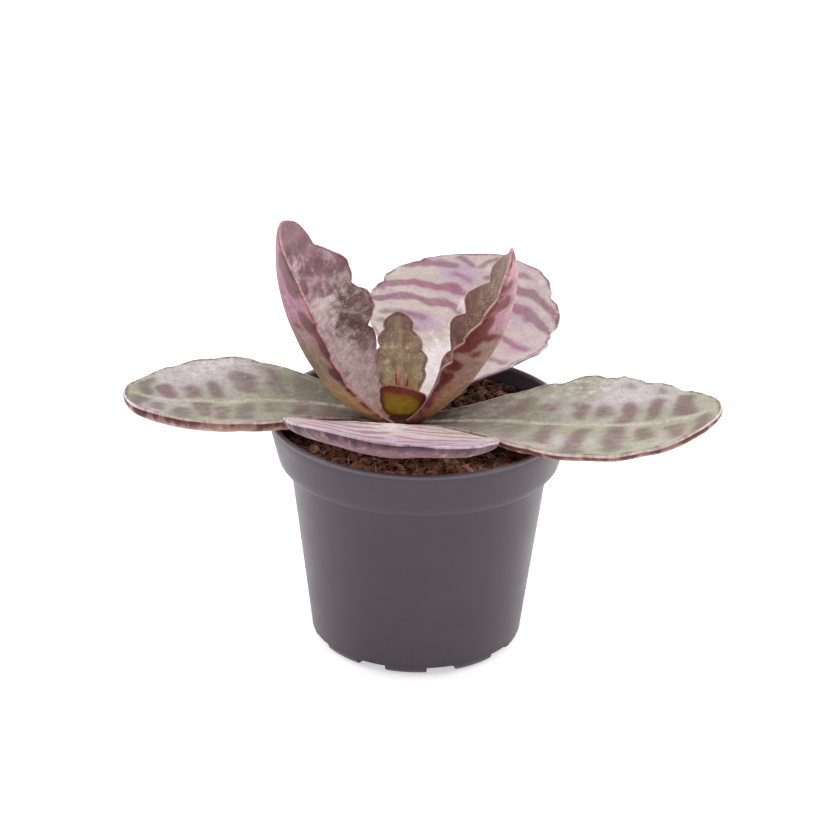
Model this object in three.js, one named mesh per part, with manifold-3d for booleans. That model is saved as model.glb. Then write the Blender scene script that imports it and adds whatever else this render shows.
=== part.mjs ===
// A potted Kalanchoe humilis: a thin plastic nursery pot, peat soil, a short stem and its paired leaves.
// Millimetres, +Z up. The origin is on the pot's axis, at the level that the feet stand on.
// The front of the plant faces -Y.
import * as THREE from "three";
import { mergeVertices } from "three/addons/utils/BufferGeometryUtils.js";
import Module from "manifold-3d";

const wasm = await Module();
wasm.setup();

// Driving dimensions. Lengths are in millimetres and angles in degrees.
const CLEARANCE = 0.3; // between pieces that touch on the real plant

const POT = {
  height: 68,
  rimRadius: 42.5, // the lip's outer edge
  lipRadius: 0.7, // rounding of the lip
  collarRadius: 40.1, // foot of the collar, before it rounds in
  collarLow: 57,
  ledgeHeight: 53.6, // where the collar meets the tapered body
  ledgeRadius: 36.3,
  bodyFootRadius: 30.1, // the body just above its rounded bottom edge
  bodyFootHeight: 4.4,
  plateRadius: 28, // the flat underside, inside the rounded edge
  plateLow: 1.8,
  plateHigh: 3,
  wall: 1.4,
  sides: 48,
};

const FEET = {
  count: 9,
  centre: -96.5, // direction of the foot nearest to the front
  halfAngle: 10.2,
  innerRadius: 25,
  outerRadius: 29.2,
  padRadius: 6, // the flat pad in the middle of the underside
};

const DRAIN = { count: 9, radius: 3, ringRadius: 18, sides: 12 };

const SOIL = { level: 62.2, edgeLevel: 63, lumps: 0.55, bottom: 3.3, rings: 7, sides: 36 };

const STEM = {
  x: -4.8,
  y: -2.2,
  bottom: 46,
  sides: 20,
  // radius at each height, from the foot in the soil to the growing point
  outline: [
    [4.3, 46],
    [4.6, 60],
    [4.7, 65.6],
    [4.3, 66.8],
    [3.2, 67.9],
    [2.3, 69],
    [1.7, 70.2],
    [1.1, 71.4],
    [0.6, 72],
  ],
};

// A leaf is drawn along its midrib. pitch, heading and roll steer the midrib, and foldLeft and foldRight
// raise the two halves of the blade. Each has four values from the base to the tip, the controls of a
// Bezier curve. Left and right are seen from the base, with the upper face up.
const LEAVES = {
  leaf_left: {
    base: [-9.8, -0.2, 66.1],
    length: 74,
    width: 45,
    thickness: 4.3,
    pitch: [19, 11, -16, 23],
    heading: [182, 195, 197, 180],
    roll: [-2, -1, 0, 6],
    foldLeft: [10, 7, 15, 4],
    foldRight: [11, 10, 18, 3],
    petiole: 0.24,
    flare: 1.7,
    widest: 0.62,
    scallops: [6.5, 6],
    scallopStart: [0.1, 0.3],
    scallopDepth: [0.9, 0.9],
  },
  leaf_right: {
    base: [0.2, -2.2, 65.9],
    length: 87.5,
    width: 50,
    thickness: 3.5,
    pitch: [13, 12, -10, 31],
    heading: [-22, -23, -21, 4],
    roll: [0, -1, 5, -7],
    foldLeft: [4, 9, 16, 4],
    foldRight: [22, 9, 1, 4],
    petiole: 0.24,
    flare: 1.5,
    widest: 0.58,
    scallops: [6.5, 6.5],
    scallopStart: [0.3, 0.0],
    scallopDepth: [1.2, 0.9],
  },
  leaf_front: {
    base: [-4.8, -7.4, 66.8],
    length: 74.7,
    width: 57,
    thickness: 4,
    pitch: [29, 25, 2, 27],
    heading: [-101, -92, -86, -75],
    roll: [1, -4, 1, -1],
    foldLeft: [8, -14, 1, -6],
    foldRight: [-8, 0, 10, 19],
    petiole: 0.2,
    flare: 1.57,
    widest: 0.54,
    scallops: [6, 6],
    scallopStart: [0.2, 0.5],
    scallopDepth: [1.0, 1.0],
  },
  leaf_back: {
    base: [-3.2, 2.9, 67.2],
    length: 76,
    width: 56,
    thickness: 2.2,
    pitch: [2, 16, 30, 14],
    heading: [65, 69, 75, 89],
    roll: [0, 2, 3, -2],
    foldLeft: [43, 19, 15, 6],
    foldRight: [43, 5, -3, 5],
    petiole: 0.24,
    flare: 1.4,
    widest: 0.57,
    scallops: [5, 5],
    scallopStart: [0.5, 0.2],
    scallopDepth: [1.0, 1.5],
  },
  leaf_upright_left: {
    base: [-8.1, -3.2, 66.4],
    length: 69.5,
    width: 49.2,
    thickness: 1.8,
    pitch: [22, 58, 77, 90],
    heading: [186, 172, 185, 177],
    roll: [-11, -8, 2, 3],
    foldLeft: [57, 26, 34, 8],
    foldRight: [68, 64, 55, 11],
    petiole: 0.2,
    flare: 1.15,
    widest: 0.61,
    scallops: [6, 4.5],
    scallopStart: [0.1, 0.3],
    scallopDepth: [2.3, 3.0],
  },
  leaf_upright_right: {
    base: [-1.5, -3.4, 66.4],
    length: 61,
    width: 33,
    thickness: 1.8,
    pitch: [40, 49, 68, 99],
    heading: [-18, 4, 10, 6],
    roll: [-2, -1, -3, -7],
    foldLeft: [65, 57, 36, 2],
    foldRight: [68, 60, 43, 12],
    petiole: 0.24,
    flare: 1.8,
    widest: 0.62,
    scallops: [5, 7],
    scallopStart: [0.2, 0.1],
    scallopDepth: [2.6, 1.8],
  },
  leaf_young_back: {
    base: [-4.9, 0.1, 69.9],
    length: 27,
    width: 14.5,
    thickness: 1.1,
    pitch: [58, 45, 49, 65],
    heading: [91, 97, 103, 96],
    roll: [-3, -2, 3, 7],
    foldLeft: [38, 20, 10, 7],
    foldRight: [43, 22, 0, -14],
    petiole: 0.5,
    flare: 1.7,
    widest: 0.37,
    scallops: [5.5, 4.5],
    scallopStart: [0.5, 0.4],
    scallopDepth: [1.4, 1.2],
  },
  leaf_young_front: {
    base: [-4.9, -4.9, 69.2],
    length: 10.4,
    width: 13.6,
    thickness: 1.1,
    pitch: [70, 77, 76, 73],
    heading: [-92, -93, -98, -97],
    roll: [1, 0, -4, -6],
    foldLeft: [15, 27, 17, 1],
    foldRight: [13, 29, 30, 23],
    petiole: 0.6,
    flare: 0.75,
    widest: 0.59,
    scallops: [3, 3],
    scallopStart: [0.4, 0.4],
    scallopDepth: [0.3, 0.3],
  },
  leaf_bud_left: {
    base: [-5.25, -2.2, 72],
    length: 9.3,
    width: 3,
    thickness: 1.3,
    pitch: [92, 84, 80, 84],
    heading: [180, 180, 180, 180],
    roll: [0, 0, 0, 0],
    foldLeft: [0, 0, 8, 12],
    foldRight: [0, 0, 8, 12],
    petiole: 0.6,
    flare: 1.5,
    widest: 0.5,
    scallops: [2, 2],
    scallopStart: [0.2, 0.2],
    scallopDepth: [0, 0],
  },
  leaf_bud_right: {
    base: [-4.85, -2.2, 72],
    length: 8.3,
    width: 3,
    thickness: 1.2,
    pitch: [92, 86, 82, 86],
    heading: [0, 0, 0, 0],
    roll: [0, 0, 0, 0],
    foldLeft: [0, 0, 8, 12],
    foldRight: [0, 0, 8, 12],
    petiole: 0.6,
    flare: 1.5,
    widest: 0.5,
    scallops: [2, 2],
    scallopStart: [0.2, 0.2],
    scallopDepth: [0, 0],
  },
};

const BLADE = {
  mostRows: 26, // steps from the base to the tip
  leastRows: 8,
  rowsPerLength: 0.28, // more steps on longer leaves
  smallLength: 30, // leaves shorter than this get fewer columns
  across: [-1, -0.94, -0.74, -0.36, 0, 0.36, 0.74, 0.94, 1], // the margins are at -1 and 1
  smallAcross: [-1, -0.85, -0.45, 0, 0.45, 0.85, 1],
  crease: 3, // half-width of the rounded channel along the midrib
  edge: 0.9, // thickness of the margin itself
  tipHalfWidth: 0.5,
  bulge: 7, // how squarely the flank rounds off to the margin
  tipTaper: 0.93,
  rootTaper: 0.4, // how much thinner the blade is where it starts
  rootLength: 0.3,
  arcSteps: 12, // steps from the midrib to the margin when the section is integrated
  ribSteps: 120, // steps along the midrib when it is integrated
};

const COLOURS = {
  pot: 0x5b5258,
  soil: 0x2e211b,
  stem: 0x6e3b34,
  leaf: 0x9a8f88,
  young: 0x8d7a62,
  bud: 0xc4645c,
};

const radians = THREE.MathUtils.degToRad;
const clamp = THREE.MathUtils.clamp;

// A value that changes from the base to the tip, from its four controls.
function along([a, b, c, d], u) {
  const w = 1 - u;
  return w * w * w * a + 3 * w * w * u * b + 3 * w * u * u * c + u * u * u * d;
}

// Half the flat width of a blade at u, before its scallops.
function plainHalfWidth(leaf, u) {
  const rise = Math.sin((Math.PI / 2) * clamp(u / leaf.widest, 0, 1)) ** leaf.flare;
  const t = clamp((u - leaf.widest) / (1 - leaf.widest), 0, 1);
  const shape = u < leaf.widest ? leaf.petiole + (1 - leaf.petiole) * rise : Math.sqrt(1 - t * t);
  return (leaf.width / 2) * shape;
}

// The scallops of one margin: round lobes with a sharp notch between them. side is 0 for left, 1 for right.
function scallop(leaf, u, side) {
  const fade = clamp((u - 0.22) / 0.2, 0, 1) * Math.sqrt(clamp((1 - u) / 0.06, 0, 1));
  const lobe = Math.abs(Math.sin(Math.PI * (leaf.scallops[side] * u + leaf.scallopStart[side])));
  const meanLobe = 0.64;
  return leaf.scallopDepth[side] * (lobe - meanLobe) * fade;
}

// Direction of the midrib, normal of the upper face and direction to the left margin.
function frameAt(leaf, u) {
  const pitch = radians(along(leaf.pitch, u));
  const heading = radians(along(leaf.heading, u));
  const roll = radians(along(leaf.roll, u));
  const forward = new THREE.Vector3(
    Math.cos(heading) * Math.cos(pitch),
    Math.sin(heading) * Math.cos(pitch),
    Math.sin(pitch),
  );
  const left = new THREE.Vector3(-Math.sin(heading), Math.cos(heading), 0);
  const normal = new THREE.Vector3().crossVectors(forward, left);
  left.applyAxisAngle(forward, roll);
  normal.applyAxisAngle(forward, roll);
  return { forward, left, normal };
}

// The midrib's points, evenly spaced from the base to the tip.
function midribOf(leaf) {
  const step = leaf.length / BLADE.ribSteps;
  const points = [new THREE.Vector3(...leaf.base)];
  for (let i = 0; i < BLADE.ribSteps; i++) {
    const { forward } = frameAt(leaf, (i + 0.5) / BLADE.ribSteps);
    points.push(points[i].clone().addScaledVector(forward, step));
  }
  return points;
}

function pointOnRib(rib, u) {
  const place = clamp(u, 0, 1) * BLADE.ribSteps;
  const low = Math.min(Math.floor(place), BLADE.ribSteps - 1);
  return rib[low].clone().lerp(rib[low + 1], place - low);
}

// Thickness under the point (u, v): full in the middle, rounded off to the margin and to the tip.
function thicknessAt(leaf, u, v) {
  const root = 1 - BLADE.rootTaper * (1 - clamp(u / BLADE.rootLength, 0, 1)) ** 2;
  const full = leaf.thickness * root * Math.sqrt(1 - BLADE.tipTaper * u ** 12);
  const edge = Math.min(BLADE.edge, full);
  return edge + (full - edge) * Math.sqrt(1 - Math.abs(v) ** BLADE.bulge);
}

// A point of the upper face and the normal there. v is -1 at the right margin and 1 at the left one.
function bladePoint(leaf, rib, u, v, grow) {
  const side = v >= 0 ? 0 : 1;
  const outward = v >= 0 ? 1 : -1;
  const halfWidth = Math.max(
    plainHalfWidth(leaf, u) + scallop(leaf, u, side) + grow,
    BLADE.tipHalfWidth + grow,
  );
  const fold = radians(along(v >= 0 ? leaf.foldLeft : leaf.foldRight, u));
  const { left, normal } = frameAt(leaf, u);
  const step = (Math.abs(v) * halfWidth) / BLADE.arcSteps;
  let sideways = 0;
  let upward = 0;
  for (let k = 0; k < BLADE.arcSteps; k++) {
    const angle = fold * Math.tanh(((k + 0.5) * step) / BLADE.crease);
    sideways += Math.cos(angle) * step;
    upward += Math.sin(angle) * step;
  }
  const angle = fold * Math.tanh((Math.abs(v) * halfWidth) / BLADE.crease);
  const point = pointOnRib(rib, u)
    .addScaledVector(left, outward * sideways)
    .addScaledVector(normal, upward);
  const up = normal
    .multiplyScalar(Math.cos(angle))
    .addScaledVector(left, -outward * Math.sin(angle));
  return { point, up };
}

// One closed leaf. grow adds a skin of that depth all round, for cutting clearance in a neighbour.
function leafGeometry(leaf, grow = 0) {
  const small = leaf.length < BLADE.smallLength;
  const across = small ? BLADE.smallAcross : BLADE.across;
  const wanted = Math.round(BLADE.leastRows - 2 + BLADE.rowsPerLength * leaf.length);
  const rows = clamp(wanted, BLADE.leastRows, BLADE.mostRows);
  const columns = across.length - 1;
  const rib = midribOf(leaf);
  const tipCrowding = 1.4; // above 1, the rows draw together towards the tip
  const position = [];
  for (const face of ["upper", "lower"]) {
    for (let i = 0; i <= rows; i++) {
      const u = 1 - (1 - i / rows) ** tipCrowding;
      for (const v of across) {
        const { point, up } = bladePoint(leaf, rib, u, v, grow);
        const drop = face === "upper" ? -grow : thicknessAt(leaf, u, v) + grow;
        const end = i === 0 ? -grow : i === rows ? grow : 0;
        point.addScaledVector(up, -drop);
        point.addScaledVector(frameAt(leaf, u).forward, end);
        position.push(point.x, point.y, point.z);
      }
    }
  }
  const half = (rows + 1) * across.length;
  const top = (i, j) => i * across.length + j;
  const bottom = (i, j) => half + top(i, j);
  const index = [];
  // Both faces are split along the same diagonal.
  for (let i = 0; i < rows; i++) {
    for (let j = 0; j < columns; j++) {
      index.push(top(i, j), top(i + 1, j), top(i + 1, j + 1));
      index.push(top(i, j), top(i + 1, j + 1), top(i, j + 1));
      index.push(bottom(i, j), bottom(i + 1, j + 1), bottom(i + 1, j));
      index.push(bottom(i, j), bottom(i, j + 1), bottom(i + 1, j + 1));
    }
  }
  // A strip of the edge, from one rim point to the next, joins the two faces.
  const strip = ([i0, j0], [i1, j1]) => {
    index.push(top(i0, j0), top(i1, j1), bottom(i1, j1));
    index.push(top(i0, j0), bottom(i1, j1), bottom(i0, j0));
  };
  for (let i = 0; i < rows; i++) {
    strip([i, columns], [i + 1, columns]);
    strip([i + 1, 0], [i, 0]);
  }
  for (let j = 0; j < columns; j++) {
    strip([0, j], [0, j + 1]);
    strip([rows, j + 1], [rows, j]);
  }
  const geometry = new THREE.BufferGeometry();
  geometry.setAttribute("position", new THREE.Float32BufferAttribute(position, 3));
  geometry.setIndex(index);
  return geometry;
}

// A closed three.js geometry as a solid.
function solid(geometry) {
  const plain = geometry.index ? geometry.toNonIndexed() : geometry.clone();
  plain.deleteAttribute("normal");
  plain.deleteAttribute("uv");
  const merged = mergeVertices(plain, 1e-4);
  const mesh = new wasm.Mesh({
    numProp: 3,
    vertProperties: merged.attributes.position.array,
    triVerts: new Uint32Array(merged.index.array),
  });
  return new wasm.Manifold(mesh);
}

// The largest single body of a solid, without the slivers that a cut can leave.
function largestBody(body) {
  return body.decompose().reduce((a, b) => (b.volume() > a.volume() ? b : a));
}

function meshOf(name, body, colour, roughness) {
  const made = body.getMesh();
  const geometry = new THREE.BufferGeometry();
  geometry.setAttribute("position", new THREE.BufferAttribute(made.vertProperties, 3));
  geometry.setIndex(new THREE.BufferAttribute(made.triVerts, 1));
  geometry.computeVertexNormals();
  const material = new THREE.MeshStandardMaterial({ color: colour, roughness, metalness: 0 });
  const mesh = new THREE.Mesh(geometry, material);
  mesh.name = name;
  return mesh;
}

// A solid of revolution about Z from [radius, height] points that run upwards on the outside.
function lathe(outline, sides) {
  const points = outline.map(([radius, height]) => new THREE.Vector2(radius, height));
  return new THREE.LatheGeometry(points, sides).rotateX(Math.PI / 2);
}

// Points of a quarter turn of a rounded edge, without its two ends.
function rounded(centre, radius, from, to, steps) {
  const points = [];
  for (let k = 1; k < steps; k++) {
    const angle = radians(from + ((to - from) * k) / steps);
    points.push([centre[0] + radius * Math.cos(angle), centre[1] + radius * Math.sin(angle)]);
  }
  return points;
}

// The pot's inner face, from its floor up to the lip.
function innerOutline() {
  const { wall, lipRadius } = POT;
  return [
    [POT.bodyFootRadius - wall - 1.6, POT.plateHigh],
    [POT.bodyFootRadius - wall, POT.bodyFootHeight + 0.6],
    [POT.ledgeRadius - wall, POT.ledgeHeight + 0.4],
    [POT.collarRadius - wall - 0.6, POT.collarLow - 1],
    [POT.collarRadius - wall, POT.collarLow + 1],
    [POT.rimRadius - wall - 0.2, POT.height - lipRadius],
  ];
}

// The inner radius at a height, read from the straight stretches of the inner face.
function innerRadiusAt(height) {
  const outline = innerOutline();
  const upper = outline.findIndex(([, z]) => z >= height);
  const [r0, z0] = outline[upper - 1];
  const [r1, z1] = outline[upper];
  return r0 + ((r1 - r0) * (height - z0)) / (z1 - z0);
}

function potBody() {
  const { rimRadius, lipRadius, height, plateRadius, plateLow, plateHigh } = POT;
  const footRound = POT.bodyFootRadius - plateRadius;
  const outline = [
    [0, plateLow],
    [plateRadius, plateLow],
    ...rounded([plateRadius, plateLow + footRound], footRound, -90, 0, 3),
    [POT.bodyFootRadius, POT.bodyFootHeight],
    [POT.ledgeRadius, POT.ledgeHeight],
    [POT.collarRadius - 1.7, POT.ledgeHeight + 0.6],
    [POT.collarRadius - 0.5, POT.ledgeHeight + 1.6],
    [POT.collarRadius, POT.collarLow],
    [rimRadius, height - lipRadius],
    ...rounded([rimRadius - lipRadius, height - lipRadius], lipRadius, 0, 90, 3),
    [rimRadius - lipRadius, height],
    ...innerOutline().reverse(),
    [0, plateHigh],
  ];
  let pot = solid(lathe(outline, POT.sides));
  for (let k = 0; k < FEET.count; k++) {
    pot = pot.add(solid(footGeometry(FEET.centre + (360 * k) / FEET.count)));
  }
  const pad = new THREE.CylinderGeometry(FEET.padRadius, FEET.padRadius, plateLow + 0.4, 16);
  pad.rotateX(Math.PI / 2).translate(0, 0, (plateLow + 0.4) / 2);
  pot = pot.add(solid(pad));
  const depth = 6;
  for (let k = 0; k < DRAIN.count; k++) {
    const angle = radians(FEET.centre + (360 * (k + 0.5)) / DRAIN.count);
    const hole = new THREE.CylinderGeometry(DRAIN.radius, DRAIN.radius, depth, DRAIN.sides);
    hole.rotateX(Math.PI / 2);
    hole.translate(DRAIN.ringRadius * Math.cos(angle), DRAIN.ringRadius * Math.sin(angle), plateHigh);
    pot = pot.subtract(solid(hole));
  }
  return pot;
}

// One low foot under the plate, an arc with its lower corners cut back.
function footGeometry(direction) {
  const steps = 6;
  const corner = 1.6; // how far the foot's ends lean in towards the ground, in degrees
  const sunk = 0.4; // how far the foot reaches up into the plate
  const position = [];
  for (const [level, lean] of [
    [0, corner],
    [POT.plateLow + sunk, 0],
  ]) {
    for (let k = 0; k <= steps; k++) {
      const half = FEET.halfAngle - lean;
      const angle = radians(direction - half + (2 * half * k) / steps);
      for (const radius of [FEET.innerRadius, FEET.outerRadius - lean * 0.25]) {
        position.push(radius * Math.cos(angle), radius * Math.sin(angle), level);
      }
    }
  }
  const row = 2 * (steps + 1);
  const index = [];
  const quad = (a, b, c, d) => index.push(a, b, c, a, c, d);
  for (let k = 0; k < steps; k++) {
    const [inner, outer, nextInner, nextOuter] = [2 * k, 2 * k + 1, 2 * k + 2, 2 * k + 3];
    quad(inner, nextInner, nextOuter, outer);
    quad(row + inner, row + outer, row + nextOuter, row + nextInner);
    quad(outer, nextOuter, row + nextOuter, row + outer);
    quad(inner, row + inner, row + nextInner, nextInner);
  }
  quad(0, 1, row + 1, row);
  quad(2 * steps, row + 2 * steps, row + 2 * steps + 1, 2 * steps + 1);
  const geometry = new THREE.BufferGeometry();
  geometry.setAttribute("position", new THREE.Float32BufferAttribute(position, 3));
  geometry.setIndex(index);
  return geometry;
}

// Height of the soil's lumpy top.
function soilHeight(x, y) {
  const radius = Math.hypot(x, y);
  const rise = (SOIL.edgeLevel - SOIL.level) * clamp(radius / 34, 0, 1) ** 2;
  const lumps =
    Math.sin(0.42 * x + 1.3) * Math.cos(0.37 * y - 0.6) +
    0.6 * Math.sin(0.9 * x - 0.55 * y) +
    0.4 * Math.cos(1.35 * y + 0.8 * x + 2);
  return SOIL.level + rise + (SOIL.lumps / 2) * lumps * clamp(radius / 14, 0.2, 1);
}

function soilBody() {
  const wall = (height) => innerRadiusAt(height) - CLEARANCE - 0.1;
  const levels = [SOIL.bottom, POT.bodyFootHeight + 0.7, POT.ledgeHeight + 0.4, POT.collarLow - 1, POT.collarLow + 1];
  const topRadius = wall(SOIL.edgeLevel);
  const outline = [[0, SOIL.bottom], ...levels.map((z) => [wall(z), z]), [topRadius, SOIL.edgeLevel]];
  for (let k = SOIL.rings - 1; k >= 1; k--) outline.push([(topRadius * k) / SOIL.rings, SOIL.level]);
  outline.push([0, SOIL.level]);
  const geometry = lathe(outline, SOIL.sides);
  const at = geometry.attributes.position;
  const topFace = SOIL.level - 0.01;
  for (let i = 0; i < at.count; i++) {
    const radius = Math.hypot(at.getX(i), at.getY(i));
    if (at.getZ(i) < topFace) continue;
    // the outermost ring stays level, so that it keeps its distance from the wall
    if (radius < topRadius - 0.01) at.setZ(i, soilHeight(at.getX(i), at.getY(i)));
  }
  const holeRadius = Math.max(...STEM.outline.map(([radius]) => radius)) + CLEARANCE;
  const holeTop = POT.height;
  const holeBottom = STEM.bottom - CLEARANCE;
  const hole = new THREE.CylinderGeometry(holeRadius, holeRadius, holeTop - holeBottom, STEM.sides);
  hole.rotateX(Math.PI / 2).translate(STEM.x, STEM.y, (holeTop + holeBottom) / 2);
  return solid(geometry).subtract(solid(hole));
}

// The stem. grow adds a skin of that depth, for cutting clearance in the leaves' roots.
function stemGeometry(grow = 0) {
  const top = STEM.outline.at(-1)[1] + grow;
  const side = STEM.outline.map(([radius, height]) => [radius + grow, height]);
  const outline = [[0, STEM.bottom], ...side, [side.at(-1)[0], top], [0, top]];
  return lathe(outline, STEM.sides).translate(STEM.x, STEM.y, 0);
}

const plant = new THREE.Group();
plant.name = "potted_kalanchoe_humilis";
plant.add(meshOf("pot", potBody(), COLOURS.pot, 0.5));
plant.add(meshOf("soil", soilBody(), COLOURS.soil, 1));
plant.add(meshOf("stem", solid(stemGeometry()), COLOURS.stem, 0.7));

// Each leaf's root is cut back to clear the stem and the roots of the leaves above it.
const ROOT_ORDER = [
  "leaf_upright_left",
  "leaf_upright_right",
  "leaf_young_back",
  "leaf_young_front",
  "leaf_bud_left",
  "leaf_bud_right",
  "leaf_front",
  "leaf_back",
  "leaf_left",
  "leaf_right",
];
const above = [solid(stemGeometry(CLEARANCE))];
for (const name of ROOT_ORDER) {
  const leaf = LEAVES[name];
  let body = solid(leafGeometry(leaf));
  for (const neighbour of above) body = body.subtract(neighbour);
  above.push(solid(leafGeometry(leaf, CLEARANCE)));
  const colour = name.includes("bud") ? COLOURS.bud : name.includes("young") ? COLOURS.young : COLOURS.leaf;
  plant.add(meshOf(name, largestBody(body), colour, 0.55));
}

export default plant;
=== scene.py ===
"""A potted Kalanchoe humilis: mottled waxy leaves, a moulded nursery pot and peat soil.

Lengths are named in millimetres, as on the plant, and turned to metres where a mesh is made.
"""

import math
import random
from functools import partial
from types import SimpleNamespace

import bmesh
import bpy
import numpy as np
from bpy.props import FloatProperty, FloatVectorProperty, IntProperty, PointerProperty
from mathutils import Matrix, Vector, noise


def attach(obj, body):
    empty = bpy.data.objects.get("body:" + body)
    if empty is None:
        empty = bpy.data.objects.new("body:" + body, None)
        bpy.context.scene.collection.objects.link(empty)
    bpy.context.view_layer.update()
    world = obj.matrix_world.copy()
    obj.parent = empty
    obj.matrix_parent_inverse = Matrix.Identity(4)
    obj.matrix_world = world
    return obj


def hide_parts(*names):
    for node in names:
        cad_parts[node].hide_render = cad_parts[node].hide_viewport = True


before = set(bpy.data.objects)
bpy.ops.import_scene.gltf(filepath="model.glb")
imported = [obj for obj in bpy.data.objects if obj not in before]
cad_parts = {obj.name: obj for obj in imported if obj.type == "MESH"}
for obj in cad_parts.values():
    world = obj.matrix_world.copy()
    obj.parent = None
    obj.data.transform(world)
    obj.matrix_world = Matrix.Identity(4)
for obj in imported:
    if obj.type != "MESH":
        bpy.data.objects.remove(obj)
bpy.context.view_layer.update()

bl_info = {
    "name": "Potted Kalanchoe humilis",
    "version": (1, 0, 0),
    "blender": (4, 5, 0),
    "location": "3D View > Sidebar > Kalanchoe",
    "description": "Builds a small potted succulent with mottled, scalloped leaves",
    "category": "Add Mesh",
}

MM = 0.001
MIX_A, MIX_B = 6, 7  # the colour sockets of a Mix node


def linear(code):
    """An sRGB hex colour as a linear RGBA tuple."""
    parts = [int(code[i:i + 2], 16) / 255 for i in (0, 2, 4)]
    return tuple(c / 12.92 if c <= 0.04045 else ((c + 0.055) / 1.055) ** 2.4 for c in parts) + (1.0,)


# Leaf shapes

# Each leaf is drawn along its midrib, in millimetres and degrees. pitch, heading and roll steer the
# midrib; fold_left and fold_right raise the two halves of the blade. Each has four values from the base
# to the tip, the controls of a Bezier curve. Left and right are seen from the base, upper face up.
# petiole is the share of its full width that a leaf has at the base, widest the place where it has all
# of it, and flare says how late it widens. Scallops, their start and their depth are given for the left
# and the right margin.
#
# Markings lie on the same map. A stripe is (place on the midrib, from, to, strength), where from and to
# are shares of the way to the margin; lean and bow curve it. A cloud is (place on the midrib, place
# across, length, breadth, strength), with left of the midrib positive. Those of under are the dark
# blotches of the lower face. shade makes a whole leaf lighter or darker. PLAIN holds what a leaf has
# where its own entry says nothing, and BUD what the two buds share.
PLAIN = dict(
    left=(), right=(), lean=0.0, bow=0.0, under=(), lilac=(), frost=(), brown=(), shade=1.0)
BUD = dict(
    width=3, petiole=0.6, flare=1.5, widest=0.5, roll=(0, 0, 0, 0), fold_left=(0, 0, 8, 12),
    fold_right=(0, 0, 8, 12), scallops=(2, 2), start=(0.2, 0.2), depth=(0, 0), look="bud", stripe=1.0)
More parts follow.
